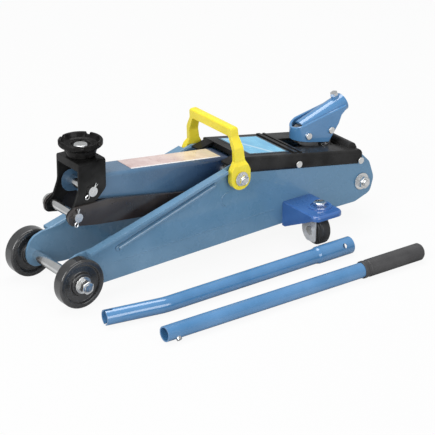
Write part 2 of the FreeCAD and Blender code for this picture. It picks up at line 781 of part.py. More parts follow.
def pump_block():
    """The cast block at the rear, with the lever lug, the plunger bore and the valve seat."""
    height = "block_top - block_bottom"
    sizes = ("block_rear - block_front", "block_half_width + block_half_width", height)
    body = block("block_body", sizes, at("block_front", "0 - block_half_width", "block_bottom"))
    lug_outline = [
        ("lever_x - 9.3", "lever_z - 9.3", 8.5),
        ("lever_x - 9.3", "lever_z + 9.3", 8.5),
        ("lever_x + 9.3", "lever_z + 9.3", 8.5),
        ("lever_x + 9.3", "lever_z - 6", 3),
        ("block_front + 10.5", "block_top + 14", 3),
        ("block_front + 10.5", "block_top - 2"),
        ("block_front + 0.5", "block_top - 2"),
        ("block_front + 0.5", "block_top + 10.5", 3),
    ]
    lug = plate("lever_lug", lug_outline, 0, 12, Placement(), True)
    bosses = []
    for word, side in SIDES:
        start = at(REAR_BOLT[0], side * 29, REAR_BOLT[1])
        bosses.append(rod(f"bolt_boss_{word}", 11, 6, start, along_y(side)))
    blank = joined("block_blank", [body, lug] + bosses)
    plunger = rod("plunger_bore", "plunger_radius + running_gap", 60, at("press_x", 0, 28), Z_AXIS)
    pivot = rod("lever_bore", "4 + running_gap", 20, at("lever_x", -10, "lever_z"), Y_AXIS)
    valve = rod("valve_bore", "5 + running_gap", 21, at("block_rear - 20", 0, 38), X_AXIS)
    plug = rod("plug_bore", "4 + fixed_gap", 8, at("block_rear - 24", 19, "block_top - 7"), Z_AXIS)
    tools = [plunger, pivot, valve, plug]
    for word, side in SIDES:
        start = at(REAR_BOLT[0], side * 18, REAR_BOLT[1])
        tools.append(rod(f"bolt_bore_{word}", "5 + fixed_gap", 20, start, along_y(side)))
    keep("pump_block", cut("pump_block", blank, tools))
    plug_start = at("block_rear - 24", 19, "block_top - 7")
    stem = rod("plug_stem", 4, 7, plug_start, Z_AXIS)
    cap = rod("plug_cap", 6, 2, plug_start + Vector(0, 0, 7), Z_AXIS)
    keep("filler_plug", joined("filler_plug_part", [stem, cap]))


def release_valve():
    """The release screw, with a flat tang that the handle's notched end fits over."""
    start = at("block_rear - 18", 0, 38)
    stem = rod("valve_stem", 5, 20, start, X_AXIS)
    collar = rod("valve_collar", 8, 3, start + Vector(18.5, 0, 0), X_AXIS)
    tang = block("valve_tang", (7, 3, 11), start + Vector(21.5, -1.5, -5.5))
    keep("release_valve", joined("release_valve_part", [stem, collar, tang]))


def rear_bolts():
    """The two bolts and washers that hold the side plates to the pump block."""
    bolts = []
    washers = []
    for word, side in SIDES:
        start = at(REAR_BOLT[0], side * 38, REAR_BOLT[1])
        disc = rod(f"rear_washer_disc_{word}", 9, 1.8, start, along_y(side))
        hole = rod(f"rear_washer_hole_{word}", "5 + fixed_gap", 1.8, start, along_y(side))
        washers.append(cut(f"rear_washer_{word}", disc, [hole]))
        start = at(REAR_BOLT[0], side * 20, REAR_BOLT[1])
        shank = rod(f"rear_shank_{word}", 5, 19.8, start, along_y(side))
        start = at(REAR_BOLT[0], side * 39.8, REAR_BOLT[1])
        head = hexagon(f"rear_head_{word}", 15, 9.5, start, along_y(side))
        bolts.append(joined(f"rear_bolt_{word}", [shank, head]))
    keep("rear_bolts", group("rear_bolt_set", bolts))
    keep("rear_washers", group("rear_washer_set", washers))


# ---------------------------------------------------------------- pump lever
SOCKET_FOOT = Vector(332.5, 0, 108.3)
SOCKET_FLOOR = 14.0
PRESS_RADIUS = 4.0
PRESS_GAP = 0.5


def yoke_cheek(word, side):
    """One flat cheek of the yoke, reaching from its front web to the socket tube."""
    outline = [
        (311.8, 116.9, 2.5),
        (316.7, 98.7, 2.5),
        (363.1, 90.0, 6),
        (377.6, 109.2, 6),
        (381.5, 118.6, 2.5),
        (388.5, 123.5, 2.5),
        (388.5, 129.5, 2.5),
        (334.0, 119.0),
    ]
    inner = side * number("socket_radius")
    outer = side * number("socket_radius + 3")
    cheek = plate(f"yoke_cheek_{word}", outline, max(inner, outer), 3)
    press_hole = number(PRESS_RADIUS) + number("fixed_gap")
    holes = [("lever_x", "lever_z", "4 + running_gap"), ("press_x", "press_z", press_hole)]
    drill(cheek, f"yoke_holes_{word}", holes)
    return cheek


def pump_lever():
    """The handle socket on its two cheeks, the press pin, the clamp bolt and the pivot pin."""
    angle = math.radians(number("socket_angle"))
    along = Vector(math.cos(angle), 0, math.sin(angle))
    across = Vector(-math.sin(angle), 0, math.cos(angle))
    wall = rod("socket_outer", "socket_radius", "socket_length", SOCKET_FOOT, along)
    bore_start = SOCKET_FOOT + along * SOCKET_FLOOR
    hole = rod("socket_inner", "socket_bore", "socket_length", bore_start, along)
    lug_room = rod("lug_room", 11.5, 24, at("lever_x", -12, "lever_z"), Y_AXIS)
    bolt_spot = SOCKET_FOOT + along * (number("socket_length") - 8)
    boss = rod("clamp_boss", 4.6, 4, bolt_spot + across * 9.4, across)
    bolt_hole = rod("clamp_hole", "2.5 + fixed_gap", 10, bolt_spot + across * 5, across)
    blank = joined("socket_blank", [wall, boss])
    keep("handle_socket", cut("handle_socket", blank, [hole, lug_room, bolt_hole]))
    shank = rod("clamp_shank", 2.5, 4.4, bolt_spot + across * 9, across)
    head = hexagon("clamp_head", 8, 3.4, bolt_spot + across * 13.4, across)
    keep("socket_clamp_bolt", joined("clamp_bolt", [shank, head]))
    cheeks = [yoke_cheek(word, side) for word, side in SIDES]
    web_outline = [(312.2, 116.0), (316.8, 99.4), (319.8, 100.2), (315.2, 116.8)]
    web = plate("yoke_web", web_outline, 0, "socket_radius + socket_radius", Placement(), True)
    keep("socket_yoke", joined("socket_yoke_part", cheeks + [web]))
    pivot = rod("lever_pin", 4, 32, at("lever_x", -16, "lever_z"), Y_AXIS)
    keep("socket_pivot_pin", pivot)
    pin = rod("press_pin", PRESS_RADIUS, 32, at("press_x", -16, "press_z"), Y_AXIS)
    keep("press_pin", pin)


def plunger():
    """The pump plunger with its cap, and the spring that lifts it."""
    top = number("press_z") - PRESS_RADIUS - PRESS_GAP
    profile = [(0, 30), ("plunger_radius", 30), ("plunger_radius", top - 4), (9.5, top - 4)]
    profile += [(9.5, top - 1.5), (8, top), (0, top)]
    keep("pump_plunger", turned("pump_plunger", profile, at("press_x", 0, 0), Z_AXIS))


# ---------------------------------------------------------------- cover, labels and carry handle
COVER_FRONT = (225.0, 112.0)
COVER_REAR = (393.0, 82.0)


def cover_slope():
    return math.degrees(math.atan2(COVER_FRONT[1] - COVER_REAR[1], COVER_REAR[0] - COVER_FRONT[0]))


def cover_frame(distance):
    """A frame lying on the cover's top, a distance back from its front edge."""
    turn = Rotation(Y_AXIS, cover_slope())
    start = Vector(COVER_FRONT[0], 0, COVER_FRONT[1])
    return Placement(start + turn.multVec(Vector(distance, 0, 0)), turn)


def cover_plate():
    """The cover: sloping top, side skirts, front ears, rear dome, opening for the lever."""
    front_x, front_z = COVER_FRONT
    rear_x, rear_z = COVER_REAR
    outline = [
        COVER_FRONT,
        (front_x, 93.5),
        (303, 80.5),
        (rear_x - 6, 65.5),
        (rear_x, 66, 2),
        (*COVER_REAR, 5),
    ]
    width = "cover_half_width + cover_half_width"
    body = plate("cover_shell", outline, 0, width, Placement(), True)
    slope = cover_frame(0).Rotation.multVec(X_AXIS)
    soften(body, "cover_edges", 3.5, lambda edge: runs_along(edge, slope))
    hollow = [
        (front_x - 10, front_z - 0.2),
        (rear_x - 2, rear_z - 2.6),
        (rear_x - 2, rear_z - 4.2),
        (rear_x + 10, rear_z - 4.2),
        (rear_x + 10, 40),
        (front_x - 10, 40),
    ]
    sketch = outline_sketch(body, "cover_hollow", "XZ_Plane", 0, hollow)
    pocket(body, "cover_hollow_cut", sketch, f"{width} - cover_wall - cover_wall")
    front_wall = [
        (front_x, front_z - 1),
        (front_x, front_z - 6),
        (front_x + 2, front_z - 6),
        (front_x + 2, front_z - 1.2),
    ]
    sketch = outline_sketch(body, "cover_front", "XZ_Plane", 0, front_wall)
    pad(body, "cover_front_wall", sketch, "plate_inner + plate_inner - 1", True)
    drill(body, "cover_holes", [(x, z, "2 + fixed_gap") for x, z in COVER_SCREWS])
    opening = block("lever_opening", (66.5, 32, 60), Vector(310, -16, 60))
    shell = cut("cover_open", body, [opening])
    ridges = []
    for index, (distance, length) in enumerate(((72, 5), (81, 3))):
        place = cover_frame(distance)
        ridges.append(block(f"cover_ridge_{index}", (length, 70, 2.2), Vector(0, -35, -0.6), place))
    dome_outline = [(377.6, 83.4), (379.6, 90.5, 4), (388.0, 89.0, 5), (391.6, 82.0)]
    dome = plate("cover_dome", dome_outline, 0, 60, Placement(), True)
    ears = []
    ear_outline = [(206, 107.0), (226, 111.8), (226, 109.4), (206, 104.8)]
    for word, side in SIDES:
        ears.append(plate(f"cover_ear_{word}", ear_outline, max(side * 20.8, side * 34.5), 13.7))
    keep("cover_plate", joined("cover_plate_part", [shell, dome] + ridges + ears))
    place = cover_frame(13)
    keep("cover_label", block("cover_label", (56, 60, 0.4), Vector(0, -30, 0), place))
    screws = []
    for index, (x, z) in enumerate(COVER_SCREWS):
        for word, side in SIDES:
            shank = rod(f"screw_shank_{index}_{word}", 2, 4, at(x, side * 36, z), along_y(side))
            head = rod(f"screw_head_{index}_{word}", 4, 2.2, at(x, side * 40, z), along_y(side))
            screws.append(joined(f"screw_{index}_{word}", [shank, head]))
    keep("cover_screws", group("cover_screw_set", screws))


def carry_handle():
    """The moulded carry handle: a tapering side view crossed with an arched front view."""
    x = number("arm_pivot_x")
    z = number("arm_pivot_z")
    side_view = [
        (x - 12.5, z - 13, 12),
        (x + 12.5, z - 13, 12),
        (x + 12.5, z + 9, 9),
        (x + 6.8, z + 20),
        (x + 1.2, z + 58, 3),
        (x - 7.8, z + 58, 3),
        (x - 6.8, z + 20),
        (x - 12.5, z + 9, 9),
    ]
    tapered = plate("handle_side_view", side_view, 0, 110, Placement(), True)
    right_half = [(40.4, z - 14), (48.1, z - 14), (48.1, z + 15, 3), (45.4, z + 19, 3)]
    right_half += [(45.4, z + 35, 8), (39.0, z + 47, 5), (39.0, z + 58.5, 4)]
    right_inner = [(33.5, z + 47, 3), (40.4, z + 31, 8)]
    front_view = right_half + [(-y, *rest) for y, *rest in reversed(right_half)]
    front_view += [(-y, *rest) for y, *rest in reversed(right_inner)] + right_inner
    arch = new_body("handle_front_view")
    sketch = outline_sketch(arch, "handle_arch_outline", "YZ_Plane", x - 20, front_view)
    pad(arch, "handle_arch_pad", sketch, 40)
    round_corners(arch, "handle_arch_corner", front_view, X_AXIS)
    loop = doc.addObject("Part::MultiCommon", "handle_loop")
    loop.Shapes = [tapered, arch]
    bore = rod("handle_bore", "6 + running_gap", 110, at("arm_pivot_x", -55, "arm_pivot_z"), Y_AXIS)
    keep("carry_handle", cut("carry_handle_part", loop, [bore]))


# ---------------------------------------------------------------- casters
FORK_SHEET = 2.0
KING_FLANGE = 1.1


def caster_frame(side):
    """A caster's own frame: origin on the floor under its king bolt, X along the trail."""
    centre = at("caster_x", side * number("caster_y"), 0)
    return Placement(centre, Rotation(Z_AXIS, -90 * side))


BRACKET_FRONT = 25.5
BRACKET_REAR = 15.5
BRACKET_REACH = 25.0
BRACKET_WALL = 2.2
BRACKET_LOW = 17.0


def caster_bracket(word, side):
    """The pressed bracket welded to a side plate, with a raised ring round the king bolt."""
    name = f"caster_bracket_{word}"
    reach = side * (number("caster_y") + BRACKET_REACH)
    front = number("caster_x") - BRACKET_FRONT
    rear = number("caster_x") + BRACKET_REAR
    top = number("caster_bracket_top")
    rim = number("fork_top") + 0.4
    root = side * number("plate_outer")
    outer = [(front, root), (rear, root), (rear, reach, 9), (front, reach, 8)]
    body = new_body(f"{name}_cap")
    sketch = outline_sketch(body, f"{name}_outer", "XY_Plane", rim, outer)
    pad(body, f"{name}_outer_pad", sketch, top - rim)
    round_corners(body, f"{name}_outer_corner", outer, Z_AXIS)

    def is_top_rim(edge):
        box = edge.BoundBox
        return box.ZMin > top - 0.01 and max(abs(box.YMin), abs(box.YMax)) > 38.1

    soften(body, f"{name}_top_round", 3.0, is_top_rim)
    wall = BRACKET_WALL
    inner_reach = reach - side * wall
    inner = [(front + wall, root), (rear - wall, root)]
    inner += [(rear - wall, inner_reach, 6.8), (front + wall, inner_reach, 5.8)]
    hollow = new_body(f"{name}_hollow")
    sketch = outline_sketch(hollow, f"{name}_inner", "XY_Plane", rim - 2, inner)
    pad(hollow, f"{name}_inner_pad", sketch, top - 1 - rim)
    round_corners(hollow, f"{name}_inner_corner", inner, Z_AXIS)
    shell = cut(f"{name}_shell", body, [hollow])
    low = BRACKET_LOW
    front_gusset = [(0, top - 1), (0, low), (5, low), (51, rim - 1.5), (51, top - 1)]
    rear_gusset = [(0, top - 1), (0, low), (5, low), (15.5, 24), (15.5, top - 1)]
    gussets = []
    for end, outline in ((front + wall / 2, front_gusset), (rear - wall / 2, rear_gusset)):
        place = Placement(Vector(end, root, 0), Rotation(Z_AXIS, 90 * side))
        gussets.append(plate(f"{name}_gusset", outline, 0, wall, place, True))
    low_y = min(root, side * 40.5)
    foot = block(f"{name}_foot", (rear - front, 2.5, top - 2 - low), Vector(front, low_y, low))
    centre = Vector(number("caster_x"), side * number("caster_y"), top)
    ring = rod(f"{name}_ring", 13.5, 2.2, centre - Vector(0, 0, 1), Z_AXIS)
    dish = rod(f"{name}_dish", 10.5, 1.2, centre, Z_AXIS)
    hole = rod(f"{name}_hole", "4 + fixed_gap", 20, centre - Vector(0, 0, 10), Z_AXIS)
    blank = joined(f"{name}_blank", [shell, foot, ring] + gussets)
    keep(name, cut(name, blank, [dish, hole]))


def king_bolts():
    """The headed bolts that the casters turn on."""
    bolts = []
    top = number("caster_bracket_top")
    flange_z = number("fork_top") - FORK_SHEET - 0.3 - KING_FLANGE
    for word, side in SIDES:
        y = side * number("caster_y")
        flange = rod(f"king_flange_{word}", 6.2, KING_FLANGE, at("caster_x", y, flange_z), Z_AXIS)
        shank = rod(f"king_shank_{word}", 4, top - flange_z, at("caster_x", y, flange_z), Z_AXIS)
        head = hexagon(f"king_head_{word}", 13, 5.5, at("caster_x", y, top), Z_AXIS)
        bolts.append(joined(f"king_bolt_{word}", [flange, shank, head]))
    keep("caster_king_bolts", group("king_bolt_set", bolts))


def caster(word, side):
    """A swivelling fork with its bearing ring, its riveted axle and its wheel."""
    place = caster_frame(side)
    trail = number("caster_trail")
    axle_z = number("caster_wheel_radius")
    cheek = [
        (-13, "fork_top", 3),
        (20, "fork_top", 3),
        (trail + 8.5, axle_z - 11.5, 7),
        (trail - 7.5, axle_z - 11.5, 7),
    ]
    fork = plate(f"fork_blank_{word}", cheek, 0, 19, place, True)
    roof = number("fork_top") - FORK_SHEET
    hollow = [(-30, roof), (40, roof), (40, 0), (-30, 0)]
    sketch = outline_sketch(fork, f"fork_hollow_{word}", "XZ_Plane", 0, hollow)
    pocket(fork, f"fork_hollow_cut_{word}", sketch, 15)
    drill(fork, f"fork_axle_hole_{word}", [(trail, axle_z, "3 + fixed_gap")])
    ring = rod(f"fork_race_{word}", 9.4, 2.9, at(0, 0, "fork_top"), Z_AXIS, place)
    blank = joined(f"fork_part_{word}", [fork, ring])
    hole = rod(f"fork_king_hole_{word}", "4 + running_gap", 10, Vector(0, 0, roof - 1), Z_AXIS, place)
    keep(f"caster_fork_{word}", cut(f"caster_fork_{word}", blank, [hole]))
    shank = rod(f"caster_axle_shank_{word}", 3, 22, Vector(trail, -11, axle_z), Y_AXIS, place)
    heads = [shank]
    for name, end in (("near", -11.5), ("far", 9.5)):
        heads.append(rod(f"caster_axle_{name}_{word}", 5, 2, Vector(trail, end, axle_z), Y_AXIS, place))
    keep(f"caster_axle_{word}", joined(f"caster_axle_{word}_part", heads))
    half = number("caster_wheel_width") / 2
    radius = "caster_wheel_radius"
    profile = [("3 + running_gap", half), (12, half), (13, half - 1), (15.5, half - 1)]
    profile += [(16.2, half), (radius, half - 2), (radius, 2 - half), (16.2, -half)]
    profile += [(15.5, 1 - half), (13, 1 - half), (12, -half), ("3 + running_gap", -half)]
    wheel = turned(f"caster_wheel_{word}", profile, Vector(trail, 0, axle_z), Y_AXIS, place)
    keep(f"caster_wheel_{word}", wheel)


# ---------------------------------------------------------------- loose pump handle
LOWER_LINE = (Vector(-5, -105.5, 9.8), Vector(63, -117.0, 9.8), Vector(316, -112.0, 9.8))
UPPER_LINE = (Vector(23.5, -173.0, 9.8), Vector(368, -171.0, 9.8))


def bent_bar(points, radius, bend):
    """A solid round bar along two straight runs joined by a tangent arc."""
    first = (points[1] - points[0]).normalize()
    second = (points[2] - points[1]).normalize()
    half = first.getAngle(second) / 2
    setback = bend * math.tan(half)
    enter = points[1] - first * setback
    leave = points[1] + second * setback
    inward = (second - first).normalize()
    middle = points[1] + inward * (bend / math.cos(half) - bend)
    arc = Part.Arc(enter, middle, leave).toShape()
    path = Part.Wire([Part.makeLine(points[0], enter), arc, Part.makeLine(leave, points[2])])
    section = Part.Wire([Part.makeCircle(radius, points[0], first)])
    return path.makePipeShell([section], True, True)


def lower_handle():
    """The bent lower section: notched driving end, swaged sleeve at the other end."""
    outer_radius = number("handle_radius")
    inner_radius = number("handle_radius - handle_wall")
    end = LOWER_LINE[2]
    back = (LOWER_LINE[1] - end).normalize()
    outer = bent_bar(LOWER_LINE, outer_radius, 70)
    sleeve = Part.makeCylinder(number("sleeve_radius"), 46, end, back)
    taper = Part.makeCone(number("sleeve_radius"), outer_radius, 5, end + back * 46, back)
    outer = outer.fuse([sleeve, taper]).removeSplitter()
    start = LOWER_LINE[0]
    first = (LOWER_LINE[1] - start).normalize()
    bore_line = (start - first * 1, LOWER_LINE[1], end)
    bore = bent_bar(bore_line, inner_radius, 70)
    socket = Part.makeCylinder(outer_radius + 0.15, 44, end, back)
    notch = Part.makeBox(10, 4, 30, Vector(-1, -2, -15))
    notch.Placement = Placement(start, Rotation(X_AXIS, first))
    button_seat = Part.makeCylinder(3, 6, end + back * 13, Vector(0, -0.85, 0.53))
    button_seat.translate(Vector(0, -0.85, 0.53) * 6)
    pipe = doc.addObject("Part::Feature", "handle_lower_tube")
    pipe.Shape = outer.cut([bore, socket, notch, button_seat])
    pipe.Placement = SHIFT
    keep("handle_lower_tube", pipe)


def upper_handle():
    """The straight upper section with its rubber grip and spring button."""
    start, end = UPPER_LINE
    along = (end - start).normalize()
    outer = rod("upper_outer", "handle_radius", (end - start).Length - 3, start, along)
    bore = rod("upper_bore", "handle_radius - handle_wall", (end - start).Length - 3, start, along)
    spot = start + along * 13
    press = button_direction()
    seat = rod("button_hole", "3 + running_gap", 6, spot + press * 5, press)
    keep("handle_upper_tube", cut("handle_upper_tube", outer, [bore, seat]))
    head = rod("button_head", 3, 6.2, spot + press * 4.6, press)
    foot = rod("button_foot", 4.2, 1, spot + press * 3.6, press)
    keep("spring_button", joined("spring_button_part", [head, foot]))
    length = 84
    inner = "handle_radius + fixed_gap"
    profile = [(inner, 0), (9.2, 0), ("grip_radius", 1), ("grip_radius", 4), (9.2, 5), (9.2, 8)]
    profile += [("grip_radius", 9), ("grip_radius", length - 2), (8.5, length), (0, length)]
    profile += [(0, length - 3), (inner, length - 3)]
    grip = turned("handle_grip", profile, end - along * length, along)
    keep("handle_grip", grip)


def button_direction():
    """The way the spring button sticks out of the upper tube."""
    return Vector(0, -0.8, -0.6)


# ---------------------------------------------------------------- assembly
fill_sheet()
for side_word, side_sign in SIDES:
    side_plate(side_word, side_sign)
    front_wheel(side_word, side_sign)
    levelling_link(side_word, side_sign)
    caster_bracket(side_word, side_sign)
    caster(side_word, side_sign)
front_axle()
spacers()
front_cross_brace()
arm_shaft()
link_rear_pins()
lift_arm()
arm_fittings()
saddle_bracket()
bracket_pins()
drilled_for_split_pins()
saddle()
hydraulics()
pump_block()
release_valve()
rear_bolts()
pump_lever()
plunger()
cover_plate()
carry_handle()
king_bolts()
lower_handle()
upper_handle()
spring_start = at(GLAND_FRONT + GLAND_LENGTH + 1, 0, "ram_z")
coil_spring("ram_return_spring", 12, 1.3, 53.0, 9, spring_start + Vector(0.5, 0, 0), X_AXIS)
coil_spring("pump_spring", 7.6, 0.8, 18.6, 6.5, at("press_x", 0, "block_top + 1.1"), Z_AXIS)
doc.recompute()

for item in doc.Objects:
    faults = [word for word in item.State if word in ("Invalid", "Error")]
    if faults:
        raise ValueError(f"{item.Name} failed: {faults}")
for node, piece in PIECES.items():
    if piece.Shape.isNull() or not piece.Shape.isValid() or piece.Shape.Volume <= 0:
        raise ValueError(f"{node} has no sound shape")
    if not piece.Shape.Solids:
        raise ValueError(f"{node} has no solid")

extent = FreeCAD.BoundBox()
for node, piece in PIECES.items():
    piece.Shape.exportStep(f"parts/{node}.step")
    extent.add(piece.Shape.BoundBox)
print(len(PIECES), "sub-parts", extent)
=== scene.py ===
import json
import math

import bmesh
import bpy
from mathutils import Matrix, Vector


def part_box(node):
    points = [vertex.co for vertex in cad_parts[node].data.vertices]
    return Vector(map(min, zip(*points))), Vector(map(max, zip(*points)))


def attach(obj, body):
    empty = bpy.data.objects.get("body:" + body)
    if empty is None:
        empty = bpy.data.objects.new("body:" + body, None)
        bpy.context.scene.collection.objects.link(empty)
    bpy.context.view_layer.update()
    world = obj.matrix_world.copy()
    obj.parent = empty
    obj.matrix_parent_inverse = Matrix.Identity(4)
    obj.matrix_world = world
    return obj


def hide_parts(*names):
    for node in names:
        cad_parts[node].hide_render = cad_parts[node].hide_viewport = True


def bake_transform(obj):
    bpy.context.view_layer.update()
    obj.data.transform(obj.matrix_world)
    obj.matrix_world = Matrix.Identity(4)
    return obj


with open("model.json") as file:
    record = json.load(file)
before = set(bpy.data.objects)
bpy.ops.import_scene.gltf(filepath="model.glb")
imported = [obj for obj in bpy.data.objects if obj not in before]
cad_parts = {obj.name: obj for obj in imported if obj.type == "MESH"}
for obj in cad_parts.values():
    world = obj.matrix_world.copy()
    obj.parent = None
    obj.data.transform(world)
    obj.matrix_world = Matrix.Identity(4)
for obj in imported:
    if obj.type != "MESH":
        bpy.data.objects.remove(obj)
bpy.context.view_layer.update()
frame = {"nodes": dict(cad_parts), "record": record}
record = frame["record"]
scene = bpy.context.scene
BODY_OF = {node: body for body, nodes in record["behaviour"]["bodies"].items() for node in nodes}
SLOT_OF = {part["node"]: part["material_slot"] for part in record["subparts"]}
JOINTS = record["behaviour"]["joints"]
JOINT_AT = {joint["name"]: Vector(joint["pos_m"]) for joint in JOINTS if "pos_m" in joint}
Z = Vector((0, 0, 1))
SIDES = ((-1, Vector((0, -1, 0))), (1, Vector((0, 1, 0))))
MM = 0.001


def middle(node):
    """The centre of a node's box."""
    low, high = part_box(node)
    return (low + high) / 2


DATUM = middle("front_axle")


def at(x, y, z):
    """A point in millimetres from the front axle's centre line, the mid-plane and the floor."""
    return Vector((DATUM.x + x * MM, DATUM.y + y * MM, z * MM))


def reach(node):
    """How far a node reaches from the mid-plane, in millimetres."""
    return (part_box(node)[1].y - DATUM.y) / MM


def beside(centre, side, y):
    """A point on a centre line along y, some millimetres from the mid-plane on one side."""
    return Vector((centre.x, DATUM.y + side * y * MM, centre.z))


# ---------------------------------------------------------------- materials
class Surface:
    """A small helper that builds one procedural material."""

    def __init__(self, name):
        self.material = bpy.data.materials.new(name)
        self.material.use_nodes = True
        self.nodes = self.material.node_tree.nodes
        self.links = self.material.node_tree.links
        self.shader = self.nodes["Principled BSDF"]
        self.coords = self.nodes.new("ShaderNodeTexCoord").outputs["Object"]

    def node(self, kind, **settings):
        """Add a shader node of a kind, with its settings."""
        made = self.nodes.new(kind)
        for key, value in settings.items():
            setattr(made, key, value)
        return made

    def put(self, socket, value):
        """Set a socket of the shader, by a constant or a link."""
        target = self.shader.inputs[socket]
        if isinstance(value, bpy.types.NodeSocket):
            self.links.new(value, target)
        else:
            target.default_value = value

    def noise(self, scale, detail=3.0, roughness=0.5, stretch=(1, 1, 1)):
        """Noise over the object's own space, as a 0 to 1 value."""
        mapping = self.node("ShaderNodeMapping")
        mapping.inputs["Scale"].default_value = stretch
        self.links.new(self.coords, mapping.inputs["Vector"])
        made = self.node("ShaderNodeTexNoise")
        made.inputs["Scale"].default_value = scale
        made.inputs["Detail"].default_value = detail
        made.inputs["Roughness"].default_value = roughness
        self.links.new(mapping.outputs["Vector"], made.inputs["Vector"])
        return made.outputs["Fac"]

    def ramp(self, value, low, high, start=0.0, end=1.0):
        """Stretch the range low..high of a value to start..end, and hold it outside."""
        made = self.node("ShaderNodeMapRange", clamp=True)
        self.links.new(value, made.inputs["Value"])
        made.inputs["From Min"].default_value = low
        made.inputs["From Max"].default_value = high
        made.inputs["To Min"].default_value = start
        made.inputs["To Max"].default_value = end
        return made.outputs["Result"]

    def blend(self, share, first, second):
        """Mix two colours by a share."""
        made = self.node("ShaderNodeMix", data_type="RGBA")
        self.links.new(share, made.inputs["Factor"])
        for socket, colour in ((made.inputs["A"], first), (made.inputs["B"], second)):
            if isinstance(colour, bpy.types.NodeSocket):
                self.links.new(colour, socket)
            else:
                socket.default_value = (*colour, 1)
        return made.outputs["Result"]

    def math(self, operation, first, second):
        """One arithmetic step on two values, each a number or a socket."""
        made = self.node("ShaderNodeMath", operation=operation)
        for socket, value in zip(made.inputs, (first, second)):
            if isinstance(value, bpy.types.NodeSocket):
                self.links.new(value, socket)
            else:
                socket.default_value = value
        return made.outputs["Value"]

    def edges(self, radius):
        """Where the surface turns within a radius: 0 on open faces, 1 on edges."""
        bevel = self.node("ShaderNodeBevel", samples=4)
        bevel.inputs["Radius"].default_value = radius
        geometry = self.node("ShaderNodeNewGeometry")
        dot = self.node("ShaderNodeVectorMath", operation="DOT_PRODUCT")
        self.links.new(bevel.outputs["Normal"], dot.inputs[0])
        self.links.new(geometry.outputs["Normal"], dot.inputs[1])
        turned = self.math("SUBTRACT", 1.0, dot.outputs["Value"])
        return self.ramp(turned, 0.03, 0.25)

    def place(self, axis):
        """The surface point's own coordinate along one axis, in metres."""
        split = self.node("ShaderNodeSeparateXYZ")
        self.links.new(self.coords, split.inputs["Vector"])
        return split.outputs[axis]

    def stripe(self, value, low, high, blur):
        """1 where a value lies between two limits, 0 outside."""
        rise = self.ramp(value, low - blur, low + blur)
        fall = self.ramp(value, high - blur, high + blur)
        return self.math("SUBTRACT", rise, fall)

    def bump(self, heights):
        """Layers of (height value, distance in metres, strength) over each other."""
        last = None
        for height, distance, strength in heights:
            made = self.node("ShaderNodeBump")
            made.inputs["Distance"].default_value = distance
            made.inputs["Strength"].default_value = strength
            self.links.new(height, made.inputs["Height"])
            if last is not None:
                self.links.new(last, made.inputs["Normal"])
            last = made.outputs["Normal"]
        self.put("Normal", last)


def dimmed(colour, share):
    """A colour times a share."""
    return tuple(channel * share for channel in colour)


def lighter(colour, share):
    """A colour moved towards white by a share."""
    return tuple(channel + (1 - channel) * share for channel in colour)


def enamel(name, colour, gloss, coat, edge_wear_and_highlight=0.35, shine=0.5, painted_shade_along_x=None):
    """Sprayed gloss enamel: uneven film, orange peel, dust specks, edges lightened as thin worn
    paint and as a painted highlight, and an optional painted shade that darkens the colour along x.
    """
    s = Surface(name)
    cloud = s.ramp(s.noise(26, 4, 0.55), 0.3, 0.7)
    base = s.blend(cloud, dimmed(colour, 0.86), lighter(colour, 0.03))
    # Optional painted shade: the colour turns towards a darker end colour as x grows.
    if painted_shade_along_x:
        far, low, high = painted_shade_along_x
        base = s.blend(s.ramp(s.place("X"), low, high), base, far)
    speck = s.ramp(s.noise(900, 2, 0.6), 0.68, 0.76)
    base = s.blend(s.math("MULTIPLY", speck, 0.35), base, dimmed(colour, 0.5))
    # Edge patches lightened towards a paler colour: partly worn thin paint, partly a painted
    # highlight on the edges.
    edge_patches = s.math("MULTIPLY", s.edges(0.0009), s.ramp(s.noise(170, 3, 0.6), 0.42, 0.62))
    base = s.blend(s.math("MULTIPLY", edge_patches, edge_wear_and_highlight), base, lighter(colour, 0.35))
    s.put("Base Color", base)
    s.put("Roughness", s.ramp(s.noise(60, 3), 0.3, 0.7, gloss * 0.8, gloss * 1.35))
    s.put("Coat Weight", coat)
    s.put("Coat Roughness", 0.06)
    s.put("Specular IOR Level", shine)
    s.bump([(s.noise(330, 2, 0.4), 0.00006, 0.35), (s.noise(38, 2, 0.4), 0.0006, 0.25)])
    return s.material


GOLDEN_STAIN = (0.62, 0.60, 0.52)


def plated(name, colour, roughness, stain=GOLDEN_STAIN, brushed=(1, 1, 1), metal=1.0):
    """Zinc plate or bare steel: fine grain, faint passivation colour, dulled patches."""
    s = Surface(name)
    patch = s.ramp(s.noise(120, 4, 0.6), 0.35, 0.7)
    base = s.blend(s.math("MULTIPLY", patch, 0.35), colour, stain)
    grime = s.ramp(s.noise(420, 3, 0.6), 0.62, 0.75)
    base = s.blend(s.math("MULTIPLY", grime, 0.4), base, dimmed(colour, 0.45))
    s.put("Base Color", base)
    s.put("Metallic", metal)
    s.put("Roughness", s.ramp(s.noise(260, 4, 0.6), 0.3, 0.7, roughness * 0.7, roughness * 1.4))
    s.bump([(s.noise(1500, 3, 0.6, brushed), 0.00003, 0.35), (s.noise(90, 2, 0.4), 0.0003, 0.15)])
    return s.material


